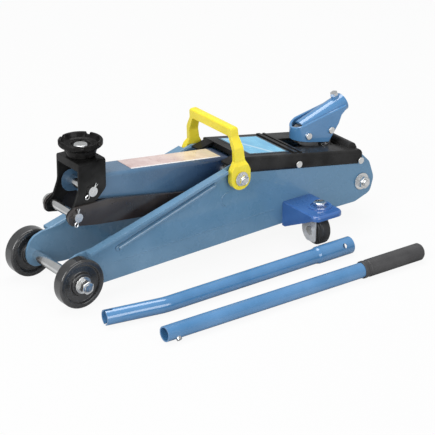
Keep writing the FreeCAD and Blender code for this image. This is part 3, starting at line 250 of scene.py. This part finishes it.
def moulded(name, colour, roughness, grain, soft=0.0, coat=0.0):
    """Moulded plastic or rubber: fine texture, slight shade changes, polished edges."""
    s = Surface(name)
    cloud = s.ramp(s.noise(45, 3, 0.5), 0.3, 0.7)
    base = s.blend(cloud, dimmed(colour, 0.88), lighter(colour, 0.02))
    rubbed = s.math("MULTIPLY", s.edges(0.0008), 0.25)
    base = s.blend(rubbed, base, lighter(colour, 0.15))
    s.put("Base Color", base)
    s.put("Roughness", s.ramp(s.noise(110, 3), 0.3, 0.7, roughness * 0.85, roughness * 1.2))
    s.put("Coat Weight", coat)
    s.put("Coat Roughness", 0.12)
    if soft:
        s.put("Subsurface Weight", soft)
        s.put("Subsurface Radius", (0.002, 0.0012, 0.0004))
        s.put("Subsurface Scale", 1.0)
    s.bump([(s.noise(1400, 2, 0.5), 0.00005, grain), (s.noise(50, 2, 0.4), 0.0004, 0.15)])
    return s.material


def cast(name, colour, roughness, coat):
    """A painted casting: sandy skin under enamel."""
    s = Surface(name)
    cloud = s.ramp(s.noise(80, 4, 0.6), 0.3, 0.7)
    base = s.blend(cloud, dimmed(colour, 0.7), lighter(colour, 0.02))
    edge_patches = s.math("MULTIPLY", s.edges(0.0009), s.ramp(s.noise(260, 3, 0.6), 0.5, 0.66))
    base = s.blend(s.math("MULTIPLY", edge_patches, 0.22), base, (0.24, 0.24, 0.25))
    s.put("Base Color", base)
    s.put("Roughness", s.ramp(s.noise(140, 3), 0.3, 0.7, roughness * 0.8, roughness * 1.3))
    s.put("Coat Weight", coat)
    s.put("Coat Roughness", 0.15)
    s.put("Specular IOR Level", 0.5 if coat else 0.09)
    s.bump([(s.noise(480, 3, 0.6), 0.0002, 0.35), (s.noise(90, 3, 0.5), 0.0008, 0.3)])
    return s.material


def arm_decal(name, low, high):
    """Printed film on the arm: pale at the front, tan at the rear, a white border."""
    s = Surface(name)
    along = s.ramp(s.place("X"), low.x, high.x)
    ink = s.ramp(s.noise(70, 4, 0.6), 0.35, 0.65)
    pale = s.blend(ink, (0.58, 0.42, 0.40), (0.72, 0.58, 0.55))
    tan = s.blend(ink, (0.74, 0.58, 0.37), (0.88, 0.73, 0.47))
    base = s.blend(s.ramp(along, 0.45, 0.95), pale, tan)
    border = s.stripe(s.place("Y"), low.y - 0.001, low.y + 0.0016, 0.0003)
    base = s.blend(border, base, (0.93, 0.92, 0.92))
    s.put("Base Color", base)
    s.put("Roughness", s.ramp(s.noise(120, 3), 0.3, 0.7, 0.24, 0.38))
    s.put("Coat Weight", 0.4)
    s.put("Coat Roughness", 0.1)
    s.bump([(s.noise(700, 3, 0.5), 0.00003, 0.2), (s.noise(40, 2, 0.4), 0.0003, 0.2)])
    return s.material


def cover_decal(name, low, high):
    """Printed film on the cover: cyan with a deeper edge and a pale diagonal streak."""
    s = Surface(name)
    across = s.ramp(s.place("Y"), low.y, high.y)
    along = s.ramp(s.place("X"), low.x, high.x)
    ink = s.ramp(s.noise(60, 4, 0.6), 0.35, 0.65)
    base = s.blend(ink, (0.13, 0.47, 0.76), (0.21, 0.60, 0.86))
    slant = s.math("ADD", along, s.math("MULTIPLY", across, 0.55))
    streak = s.stripe(slant, 0.60, 0.68, 0.03)
    base = s.blend(s.math("MULTIPLY", streak, 0.55), base, (0.72, 0.88, 0.95))
    inner_y = s.stripe(across, 0.04, 0.96, 0.006)
    inner_x = s.stripe(along, 0.05, 0.95, 0.006)
    base = s.blend(s.math("MULTIPLY", inner_y, inner_x), (0.02, 0.05, 0.08), base)
    s.put("Base Color", base)
    s.put("Roughness", s.ramp(s.noise(120, 3), 0.3, 0.7, 0.16, 0.3))
    s.put("Coat Weight", 0.5)
    s.put("Coat Roughness", 0.08)
    s.bump([(s.noise(700, 3, 0.5), 0.00003, 0.2), (s.noise(40, 2, 0.4), 0.0003, 0.2)])
    return s.material


PAINTS = {
    "frame_blue": enamel("frame_blue", (0.120, 0.255, 0.400), gloss=0.26, coat=0.6),
    "tube_blue": enamel("tube_blue", (0.068, 0.228, 0.465), gloss=0.15, coat=1.0),
    "bracket_blue": enamel("bracket_blue", (0.030, 0.125, 0.390), gloss=0.24, coat=0.7),
    "black_enamel": enamel(
        "black_enamel", (0.002, 0.002, 0.002), gloss=0.2, coat=0.0, edge_wear_and_highlight=0.05, shine=0.09),
    "cover_black": enamel(
        "cover_black", (0.004, 0.0035, 0.0035), gloss=0.26, coat=0.04, edge_wear_and_highlight=0.08, shine=0.14),
    "black_cast": cast("black_cast", (0.003, 0.0025, 0.0025), roughness=0.24, coat=0.0),
    "cast_grey": cast("cast_grey", (0.16, 0.165, 0.17), roughness=0.55, coat=0.1),
    "zinc": plated("zinc", (0.86, 0.87, 0.88), roughness=0.20),
    "zinc_sheet": plated(
        "zinc_sheet", (0.80, 0.81, 0.83), roughness=0.36, stain=(0.70, 0.70, 0.66), metal=0.45),
    "ground_steel": plated(
        "ground_steel", (0.62, 0.63, 0.65), roughness=0.22, stain=(0.5, 0.48, 0.42),
        brushed=(1, 8, 8)),
    "spring_steel": plated(
        "spring_steel", (0.34, 0.35, 0.37), roughness=0.3, stain=(0.28, 0.24, 0.18)),
    "yellow_plastic": moulded(
        "yellow_plastic", (0.93, 0.77, 0.035), roughness=0.30, grain=0.2, soft=0.12, coat=0.25),
    "wheel_black": moulded(
        "wheel_black", (0.016, 0.016, 0.017), roughness=0.26, grain=0.12, coat=0.9),
    "caster_black": moulded("caster_black", (0.016, 0.016, 0.017), roughness=0.36, grain=0.3),
    "grip_rubber": moulded("grip_rubber", (0.041, 0.040, 0.042), roughness=0.52, grain=0.7),
    "seal_rubber": moulded("seal_rubber", (0.02, 0.02, 0.02), roughness=0.5, grain=0.4),
    "label_film": arm_decal("label_film", *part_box("arm_label")),
    "label_cyan": cover_decal("label_cyan", *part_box("cover_label")),
}
arm_front, arm_rear = (corner.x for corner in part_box("lift_arm"))
# The arm's paint has a painted shade: lighter at the front, darker towards the rear.
ARM_PAINT = enamel(
    "arm_blue", (0.072, 0.165, 0.285), gloss=0.28, coat=0.5,
    painted_shade_along_x=((0.018, 0.042, 0.100), arm_front + 0.07, arm_rear - 0.04))
plate_front, plate_rear = (corner.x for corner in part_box("side_plate_left"))
# The plates' paint has a painted shade: slightly darker towards the rear.
PLATE_PAINT = enamel(
    "plate_blue", (0.128, 0.268, 0.418), gloss=0.26, coat=0.6,
    painted_shade_along_x=((0.108, 0.236, 0.378), plate_front + 0.10, plate_rear - 0.08))
LINK_PAINT = enamel(
    "link_brown", (0.016, 0.009, 0.007), gloss=0.30, coat=0.5, edge_wear_and_highlight=0.15, shine=0.5)


# ---------------------------------------------------------------- mesh helpers
def linked(name, mesh, slot, body, replaced=(), paint=None):
    """Put a finished mesh into the scene with its material, its body and what it replaces."""
    piece = bpy.data.objects.new(name, mesh)
    scene.collection.objects.link(piece)
    mesh.materials.clear()
    mesh.materials.append(paint or PAINTS[slot])
    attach(piece, body)
    if replaced:
        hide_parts(*replaced)
    return piece


def smooth(mesh, angle):
    """Shade smoothly across all edges flatter than an angle in degrees."""
    for polygon in mesh.polygons:
        polygon.use_smooth = True
    mesh.set_sharp_from_angle(angle=math.radians(angle))


def rounded(piece, width):
    """Break the sharp edges of a piece."""
    bevel = piece.modifiers.new("edges", "BEVEL")
    bevel.width = width
    bevel.segments = 2
    bevel.limit_method = "ANGLE"
    bevel.angle_limit = math.radians(32)
    bevel.use_clamp_overlap = True
    bevel.miter_outer = "MITER_ARC"
    weighted = piece.modifiers.new("normals", "WEIGHTED_NORMAL")
    weighted.keep_sharp = True


def softened(node, width, paint=None):
    """A copy of a frame node with its sharp edges broken, shown instead of the node."""
    mesh = frame["nodes"][node].data.copy()
    bm = bmesh.new()
    bm.from_mesh(mesh)
    bmesh.ops.remove_doubles(bm, verts=bm.verts, dist=2e-6)
    bmesh.ops.dissolve_limit(bm, angle_limit=math.radians(0.6), verts=bm.verts, edges=bm.edges)
    bm.to_mesh(mesh)
    bm.free()
    smooth(mesh, 40)
    piece = linked(f"{node}_skin", mesh, SLOT_OF[node], BODY_OF[node], [node], paint)
    rounded(piece, width)


SOFT = {
    "side_plate_left": 0.5, "side_plate_right": 0.5, "lift_arm": 0.5, "saddle_bracket": 0.6,
    "caster_bracket_left": 0.5, "caster_bracket_right": 0.5,
    "carry_handle": 1.6,
    "cover_plate": 0.4, "handle_socket": 0.4, "pump_block": 1.0,
    "levelling_link_left": 0.4, "levelling_link_right": 0.4, "front_wheel_left": 0.5,
    "front_wheel_right": 0.5, "caster_wheel_left": 0.5, "caster_wheel_right": 0.5,
    "front_axle_washers": 0.3,
    "cover_screws": 0.3, "socket_pivot_pin": 0.4, "press_pin": 0.4, "release_valve": 0.3,
    "saddle_pin": 0.4, "link_pin": 0.4, "handle_lower_tube": 0.3, "handle_upper_tube": 0.3,
    "cover_label": 0.1, "arm_label": 0.1, "saddle_rivet": 0.3, "filler_plug": 0.4,
    "cylinder_gland": 0.5, "pump_plunger": 0.3, "ram_head": 0.5,
}
OWN_PAINT = {
    "side_plate_left": PLATE_PAINT, "side_plate_right": PLATE_PAINT,
    "lift_arm": ARM_PAINT,
    "levelling_link_left": LINK_PAINT, "levelling_link_right": LINK_PAINT,
}
for node, width in SOFT.items():
    softened(node, width * MM, OWN_PAINT.get(node))
for node, thing in frame["nodes"].items():
    if node not in SOFT:
        thing.data.materials.clear()
        thing.data.materials.append(PAINTS[SLOT_OF[node]])


# ---------------------------------------------------------------- detailed pieces
def side_axes(axis):
    """Two directions square to an axis."""
    first = axis.orthogonal().normalized()
    return first, axis.cross(first).normalized()


def add_rings(bm, rings, loop=False):
    """Skin a list of equal rings of points, closed by end faces or into a loop."""
    made = [[bm.verts.new(point) for point in ring] for ring in rings]
    count = len(made[0])
    pairs = list(zip(made, made[1:]))
    if loop:
        pairs.append((made[-1], made[0]))
    for low, high in pairs:
        for i in range(count):
            j = (i + 1) % count
            bm.faces.new((low[i], low[j], high[j], high[i]))
    if not loop:
        bm.faces.new(list(reversed(made[0])))
        bm.faces.new(made[-1])


def add_turned(bm, centre, axis, profile, steps=48, loop=False):
    """A turned shape: (radius, height) pairs about an axis."""
    first, second = side_axes(axis)
    rings = []
    for radius, height in profile:
        ring = []
        for step in range(steps):
            turn = 2 * math.pi * step / steps
            out = first * math.cos(turn) + second * math.sin(turn)
            ring.append(centre + (axis * height + out * max(radius, 0.02)) * MM)
        rings.append(ring)
    add_rings(bm, rings, loop=loop)


def add_hexagon(bm, centre, axis, flats, depth, bore=0.0, turn=0.0):
    """A hexagon head or nut with its outer corners chamfered by a cone."""
    first, second = side_axes(axis)
    steps = 72
    inner = 0.475 * flats
    rings = [[], [], [], []]
    for step in range(steps):
        angle = 2 * math.pi * step / steps
        facet = (angle + math.pi / 6) % (math.pi / 3) - math.pi / 6
        reach = flats / 2 / math.cos(facet)
        top = depth - max(0.0, reach - inner) * 0.58
        out = first * math.cos(angle + turn) + second * math.sin(angle + turn)
        hole = bore or 0.6 * inner
        dent = depth if bore else depth - 0.5
        places = ((reach, 0), (reach, top), (inner, depth), (hole, dent))
        for ring, (radius, height) in zip(rings, places):
            ring.append(centre + (out * radius + axis * height) * MM)
    if bore:
        rings.append([])
        for step in range(steps):
            angle = 2 * math.pi * step / steps
            out = first * math.cos(angle + turn) + second * math.sin(angle + turn)
            rings[4].append(centre + out * bore * MM)
    add_rings(bm, rings, loop=bool(bore))


def add_wire(bm, points, radius, sides=10, loop=False):
    """A round wire along a path of points in millimetres."""
    rings = []
    count = len(points)
    frame_out = None
    for i, point in enumerate(points):
        before = points[i - 1] if i or loop else point
        after = points[(i + 1) % count] if i + 1 < count or loop else point
        along = (after - before).normalized()
        if frame_out is None:
            frame_out = along.orthogonal()
        frame_out = (frame_out - along * frame_out.dot(along)).normalized()
        other = along.cross(frame_out)
        ring = []
        for side in range(sides):
            turn = 2 * math.pi * side / sides
            out = frame_out * math.cos(turn) + other * math.sin(turn)
            ring.append((point + out * radius) * MM)
        rings.append(ring)
    add_rings(bm, rings, loop=loop)


def finished(name, bm, slot, body, replaced=(), angle=35, paint=None):
    """Turn the faces outwards and put the mesh into the scene as a piece."""
    bmesh.ops.recalc_face_normals(bm, faces=bm.faces)
    mesh = bpy.data.meshes.new(name)
    bm.to_mesh(mesh)
    bm.free()
    smooth(mesh, angle)
    return linked(name, mesh, slot, body, replaced, paint)


WASHER = 1.6


def ring_profile(bore, radius, edge=0.4):
    """The section of a washer with rounded outer edges."""
    return (
        (bore, 0), (radius - edge, 0), (radius, edge), (radius, WASHER - edge),
        (radius - edge, WASHER), (bore, WASHER),
    )


def carry_pivots():
    """Shouldered bolts that carry the handle, over their washers."""
    pivot = JOINT_AT["carry_fold"]
    seat = reach("handle_pivot_washers")
    thread_end = ((3.2, 0), (3.2, 5.4), (2.6, 6.0))
    shoulder = ((5.95, 0), (5.95, 10.3), (4, 10.3), (4, 12))
    bm = bmesh.new()
    for side, out in SIDES:
        add_hexagon(bm, beside(pivot, side, seat), out, flats=10.4, depth=5, turn=0.2)
        add_turned(bm, beside(pivot, side, seat + 0.2), out, thread_end)
        add_turned(bm, beside(pivot, side, seat - 11.9), out, shoulder)
    finished("carry_pivot_bolts", bm, "zinc", "chassis", ["handle_pivot_bolts"])
    bm = bmesh.new()
    for side, out in SIDES:
        washer = beside(pivot, side, seat - WASHER)
        add_turned(bm, washer, out, ring_profile(bore=4.05, radius=8.3), loop=True)
    finished("carry_pivot_washers", bm, "zinc", "chassis", ["handle_pivot_washers"])


def rear_bolts():
    """Bolts through the plates into the pump block, over wide washers."""
    centre = middle("rear_bolts")
    seat = reach("rear_washers")
    thread_end = ((3.9, 0), (3.9, 2.4), (3.2, 3.1))
    shank = ((4.9, 0), (4.9, 20))
    bm = bmesh.new()
    for side, out in SIDES:
        add_hexagon(bm, beside(centre, side, seat + 0.1), out, flats=12.6, depth=6.2, turn=0.35)
        add_turned(bm, beside(centre, side, seat + 6.1), out, thread_end)
        add_turned(bm, beside(centre, side, seat - 19.8), out, shank)
    finished("rear_bolt_set", bm, "zinc", "chassis", ["rear_bolts"])
    bm = bmesh.new()
    for side, out in SIDES:
        washer = beside(centre, side, seat - WASHER)
        add_turned(bm, washer, out, ring_profile(bore=5.1, radius=10.1), loop=True)
    finished("rear_washer_set", bm, "zinc", "chassis", ["rear_washers"])


def axle_nuts():
    """Nuts on the front axle's ends."""
    seat = reach("front_axle_washers")
    bm = bmesh.new()
    for side, out in SIDES:
        nut = beside(DATUM, side, seat)
        add_hexagon(bm, nut, out, flats=13, depth=9, bore=4.03, turn=0.1)
    finished("axle_nut_set", bm, "zinc", "chassis", ["front_axle_nuts"])


def king_bolts():
    """Hexagon heads over the caster brackets, with the king pins below them."""
    low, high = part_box("caster_king_bolts")
    pin = ((6.1, 0), (6.1, 1), (3.9, 1.1), (3.9, 9.7))
    bm = bmesh.new()
    for word in ("left", "right"):
        king = JOINT_AT[f"caster_{word}_swivel"]
        head = Vector((king.x, king.y, high.z - 5.45 * MM))
        add_hexagon(bm, head, Z, flats=13, depth=5.4, turn=0.3)
        add_turned(bm, Vector((king.x, king.y, low.z)), Z, pin)
    finished("king_bolt_set", bm, "zinc", "chassis", ["caster_king_bolts"])


# Each split pin: the pin it holds, its y, and how far its eye leans from upright in degrees.
SPLIT_PINS = (("saddle_pin", -24.4, -135), ("link_pin", -28.4, -168))
EYE_HEIGHT = 8.3
EYE_HALF_WIDTH = 2.0
EYE_HALF_LENGTH = 2.5
SPLIT_WIRE = 0.55


def split_pins():
    """Bent wires with an eye at one end and two spread legs at the other."""
    bm = bmesh.new()
    for node, y, lean in SPLIT_PINS:
        centre = middle(node)
        turn = math.radians(lean)
        up = Vector((math.sin(turn), 0, math.cos(turn)))
        over = Vector((math.cos(turn), 0, -math.sin(turn)))
        spot = Vector((centre.x / MM, DATUM.y / MM + y, centre.z / MM))
        for hand in (-1, 1):
            path = [
                spot - up * 9.6 + over * hand * (1.4 + 0.7 * hand),
                spot - up * 6.4 + over * hand * 0.52,
                spot + up * 5.2 + over * hand * 0.62,
            ]
            for step in range(9):
                bend = math.radians(28 + step * 19)
                height = EYE_HEIGHT - EYE_HALF_LENGTH * math.cos(bend)
                width = EYE_HALF_WIDTH * math.sin(bend)
                path.append(spot + up * height + over * hand * width)
            add_wire(bm, path, SPLIT_WIRE)
    finished("split_pin_wires", bm, "zinc", "bracket", ["split_pins"])


# Notches round the saddle's rim, in degrees.
NOTCHES = (35, 118, 162, 242, 290)
NOTCH_HALF = 6.5
NOTCH_DEPTH = 3.4
RIM_STARTS = 18.8


def cup_profile(low, rim):
    """The saddle's section as (radius, height), from its bottom and the top of its rim."""
    return (
        (5.1, low), (14.3, low), (15.6, low + 1.0), (16.8, low + 4.4), (18.2, rim - 9.6),
        (20.6, rim - 7.6), (23.0, rim - 6.2), (23.9, rim - 5.0), (24.0, rim - 1.4),
        (23.2, rim - 0.3), (21.9, rim), (20.6, rim - 0.5), (20.0, rim - 2.6),
        (18.6, rim - 5.4), (16.6, rim - 6.4), (13.2, rim - 6.7), (12.6, rim - 5.6),
        (10.6, rim - 5.6), (9.8, rim - 7.2), (8.1, rim - 7.5), (8.1, rim - 9.5),
        (5.1, rim - 9.5),
    )


def saddle_cup():
    """A turned cup whose rim is cut by shallow notches."""
    low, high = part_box("saddle_cup")
    rim = high.z / MM
    centre = middle("saddle_cup")
    centre.z = 0
    steps = 180
    rings = []
    for radius, height in cup_profile(low.z / MM, rim):
        ring = []
        for step in range(steps):
            degrees = 360 * step / steps
            gap = min(abs((degrees - notch + 180) % 360 - 180) for notch in NOTCHES)
            sunk = max(0.0, min(1.0, (NOTCH_HALF - gap) / 2.0))
            z = height
            if radius > RIM_STARTS:
                z = min(height, height * (1 - sunk) + (rim - NOTCH_DEPTH) * sunk)
            turn = math.radians(degrees)
            spot = Vector((radius * math.cos(turn), radius * math.sin(turn), z))
            ring.append(centre + spot * MM)
        rings.append(ring)
    bm = bmesh.new()
    add_rings(bm, rings, loop=True)
    finished("saddle_cup_casting", bm, "black_cast", "saddle", ["saddle_cup"], 30)


# The yoke's lower and upper edges from the lever's pivot, seen from the side.
YOKE_LOW = (
    (-14.4, -4.6), (0.6, -7.9), (29.7, -14.1), (37.6, -3.7), (44.2, 5.1), (48.1, 14.5), (55.1, 20.4),
)
YOKE_HIGH = ((-14.4, 9.4), (0.6, 14.9), (55.1, 25.4))
# Where the straight cheek is cut into sections, from the rear to the start of the nose.
CHEEK_X = (54.6, 51.1, 48.1, 44.2, 40.6, 37.6, 33.6, 29.7, 22.6, 15.6, 8.6, 2.6)
CHEEK_Y = 12.1
NOSE_REACH = 15.2
YOKE_HALF_SHEET = 1.45


def level_on(line, x):
    """The height of a line of (x, z) points at one x."""
    for (x0, z0), (x1, z1) in zip(line, line[1:]):
        if x <= x1:
            return z0 + (z1 - z0) * max(0.0, (x - x0)) / (x1 - x0)
    return line[-1][1]


def yoke_plan():
    """The yoke's sheet seen from above: a straight cheek, a round nose, the other cheek."""
    half = [(x, CHEEK_Y) for x in CHEEK_X]
    for step in range(1, 11):
        turn = math.radians(9 * step)
        half.append((CHEEK_X[-1] - NOSE_REACH * math.sin(turn), CHEEK_Y * math.cos(turn)))
    return half + [(x, -y) for x, y in reversed(half[:-1])]


def yoke():
    """One sheet bent round the nose, with rounded edges."""
    pivot = JOINT_AT["pump_lever"]
    plan = yoke_plan()
    rings = []
    for index, (x, y) in enumerate(plan):
        before = Vector((*plan[max(index - 1, 0)], 0))
        after = Vector((*plan[min(index + 1, len(plan) - 1)], 0))
        along = (after - before).normalized()
        out = Vector((along.y, -along.x, 0)) * YOKE_HALF_SHEET
        low = level_on(YOKE_LOW, x)
        high = max(level_on(YOKE_HIGH, x), low + 1.0)
        section = (
            (1, low + 0.5), (1, high - 0.7), (0.5, high), (-0.5, high),
            (-1, high - 0.7), (-1, low + 0.5), (-0.5, low), (0.5, low),
        )
        spot = pivot + Vector((x, y, 0)) * MM
        rings.append([spot + (out * share + Z * height) * MM for share, height in section])
    bm = bmesh.new()
    add_rings(bm, rings)
    finished("yoke_pressing", bm, "tube_blue", "lever", ["socket_yoke"], 30)


# The caster wheel's centre from its king pin, in the fork's own along and up.
WHEEL_ALONG = 4
WHEEL_UP = 18
FORK_SWEEP = 15.6
FORK_INNER = 7.6
FORK_OUTER = 9.5
FORK_EDGE = 0.35


def fork_outline():
    """The fork's cheek: straight outer edge, round inner side about the wheel axle."""
    points = [(-4.5, 39.6), (-4.5, 7.0), (-2.5, 4.6)]
    for step in range(13):
        turn = math.radians(-68 + step * 10.4)
        x = WHEEL_ALONG + FORK_SWEEP * math.cos(turn)
        z = WHEEL_UP + FORK_SWEEP * math.sin(turn)
        points.append((x, z))
    return points + [(12.5, 37.5), (13.0, 39.6)]


def squared(value):
    """Push a sine or cosine outwards, so that a circle becomes a rounded square."""
    return math.copysign(abs(value) ** 0.35, value)


def fork(word, side):
    """Two cheeks, a roof plate and the raised race of one caster fork."""
    king = JOINT_AT[f"caster_{word}_swivel"].copy()
    king.z = 0
    along = Vector((0, -side, 0))
    across = Vector((side, 0, 0))
    bm = bmesh.new()
    for inner, outer in ((FORK_INNER, FORK_OUTER), (-FORK_OUTER, -FORK_INNER)):
        rings = []
        layers = (
            (inner, FORK_EDGE), (inner + FORK_EDGE, 0), (outer - FORK_EDGE, 0), (outer, FORK_EDGE),
        )
        for offset, shrink in layers:
            ring = []
            for x, z in fork_outline():
                toward = Vector((WHEEL_ALONG - x, WHEEL_UP - z)).normalized() * shrink
                spot = along * (x + toward.x) + across * offset + Z * (z + toward.y)
                ring.append(king + spot * MM)
            rings.append(ring)
        add_rings(bm, rings)
    roof = []
    for z, shrink in ((37.8, 0.3), (38.1, 0), (39.5, 0), (39.8, 0.3)):
        ring = []
        for step in range(40):
            turn = 2 * math.pi * step / 40
            x = 4.2 + (9.3 - shrink) * squared(math.cos(turn))
            y = (9.6 - shrink) * squared(math.sin(turn))
            ring.append(king + (along * x + across * y + Z * z) * MM)
        roof.append(ring)
    add_rings(bm, roof)
    race = ((4.1, 39.7), (9.4, 39.7), (9.4, 42.2), (8.9, 42.7), (4.1, 42.7))
    add_turned(bm, king, Z, race, loop=True)
    finished(f"fork_{word}", bm, "zinc_sheet", f"caster_{word[0]}", [f"caster_fork_{word}"], 30)


# Pressed shapes on the side plates: a round mark, a fold line and a bead.
PLATE_Y = 37.9
MARK_CENTRE = (202.0, 67.7)
MARK_RADIUS = 8.2
MARK_WIRE = 0.75
CREASE = ((52, 32.3), (110, 34.6), (180, 37.0), (266, 39.6))
CREASE_WIRE = 0.55
RIB = ((57.5, 47.9), (59, 48.4), (120, 68.1), (181, 87.9), (183.5, 88.7))
RIB_WIRE = 3.2


def plate_pressings():
    """Beads sunk into the plates' outer faces, so that only their crowns show."""
    bm = bmesh.new()
    for side in (-1, 1):
        y = DATUM.y / MM + side * PLATE_Y
        arc = []
        for step in range(15):
            turn = math.radians(75 + step * 13)
            x = DATUM.x / MM + MARK_CENTRE[0] + MARK_RADIUS * math.cos(turn)
            arc.append(Vector((x, y, MARK_CENTRE[1] + MARK_RADIUS * math.sin(turn))))
        add_wire(bm, arc, MARK_WIRE, 12)
        crease = [Vector((DATUM.x / MM + x, y, z)) for x, z in CREASE]
        add_wire(bm, crease, CREASE_WIRE, 12)
        rib = [Vector((DATUM.x / MM + x, y + side * 0.5, z)) for x, z in RIB]
        add_wire(bm, rib, RIB_WIRE, 24)
    finished("plate_pressings", bm, "frame_blue", "chassis", paint=PLATE_PAINT)


def spring(node, axis):
    """A copy of a coil spring, shown instead of the node."""
    mesh = frame["nodes"][node].data.copy()
    smooth(mesh, 60)
    mesh.materials.clear()
    mesh.materials.append(PAINTS[SLOT_OF[node]])
    piece = bpy.data.objects.new(f"{node}_coils", mesh)
    scene.collection.objects.link(piece)
    low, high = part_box(node)
    start = (low + high) / 2
    end = start.copy()
    start[axis] = low[axis]
    end[axis] = high[axis]
    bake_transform(piece)
    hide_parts(node)


carry_pivots()
rear_bolts()
axle_nuts()
king_bolts()
split_pins()
saddle_cup()
yoke()
fork("left", -1)
fork("right", 1)
plate_pressings()
spring("ram_return_spring", 0)
spring("pump_spring", 2)


# ---------------------------------------------------------------- stage
FLOOR_SHADE = 0.5
FLOOR_GLOW = 0.9


def make_floor():
    """A pale floor that looks evenly lit to the camera."""
    mesh = bpy.data.meshes.new("floor")
    bm = bmesh.new()
    bmesh.ops.create_grid(bm, x_segments=8, y_segments=8, size=12)
    bm.to_mesh(mesh)
    bm.free()
    floor = bpy.data.objects.new("floor", mesh)
    scene.collection.objects.link(floor)
    floor.location = (0, 0, -0.0002)
    s = Surface("floor_paint")
    cloud = s.ramp(s.noise(3, 2), 0.3, 0.7)
    white = (1, 1, 1)
    shade = s.blend(cloud, dimmed(white, FLOOR_SHADE), dimmed(white, FLOOR_SHADE + 0.02))
    s.put("Base Color", shade)
    s.put("Roughness", 0.9)
    s.put("Specular IOR Level", 0.1)
    glow = s.node("ShaderNodeEmission")
    glow.inputs["Color"].default_value = (1, 1, 1, 1)
    glow.inputs["Strength"].default_value = 1.02
    seen = s.node("ShaderNodeLightPath")
    mix = s.node("ShaderNodeMixShader")
    s.links.new(s.math("MULTIPLY", seen.outputs["Is Camera Ray"], FLOOR_GLOW), mix.inputs["Fac"])
    s.links.new(s.shader.outputs["BSDF"], mix.inputs[1])
    s.links.new(glow.outputs["Emission"], mix.inputs[2])
    s.links.new(mix.outputs["Shader"], s.nodes["Material Output"].inputs["Surface"])
    mesh.materials.append(s.material)


def make_light(name, size, power, place, target):
    """A soft box of a size in metres and a power in watts, turned to a target."""
    light = bpy.data.lights.new(name, "AREA")
    light.shape = "RECTANGLE"
    light.size, light.size_y = size
    light.energy = power
    thing = bpy.data.objects.new(name, light)
    scene.collection.objects.link(thing)
    thing.location = place
    thing.rotation_euler = (target - Vector(place)).to_track_quat("-Z", "Y").to_euler()


def make_world():
    """An even, faintly cool sky."""
    world = bpy.data.worlds.new("studio")
    scene.world = world
    world.use_nodes = True
    back = world.node_tree.nodes["Background"]
    back.inputs["Color"].default_value = (0.97, 0.985, 1.0, 1)
    back.inputs["Strength"].default_value = 0.45
    scene.view_settings.view_transform = "Standard"


def make_camera():
    """A long lens from the front left, above the jack."""
    camera = bpy.data.cameras.new("camera")
    camera.lens = 182.07
    camera.sensor_width = 36
    camera.clip_end = 50
    thing = bpy.data.objects.new("camera", camera)
    scene.collection.objects.link(thing)
    target = at(216.1, 0, 28.9)
    azimuth = math.radians(-36.0)
    elevation = math.radians(23.65)
    flat = Vector((math.sin(azimuth), -math.cos(azimuth), 0)) * math.cos(elevation)
    thing.location = target + (flat + Z * math.sin(elevation)) * 2.4684
    thing.rotation_euler = (target - thing.location).to_track_quat("-Z", "Y").to_euler()
    scene.camera = thing


make_floor()
make_world()
make_camera()
heart = at(190, 0, 60)
make_light("top_box", (1.4, 1.0), 19, at(200, 300, 1600), heart)
make_light("left_box", (0.8, 1.2), 17, at(-1400, -500, 900), heart)
make_light("right_box", (1.2, 1.0), 14, at(350, -1900, 600), heart)
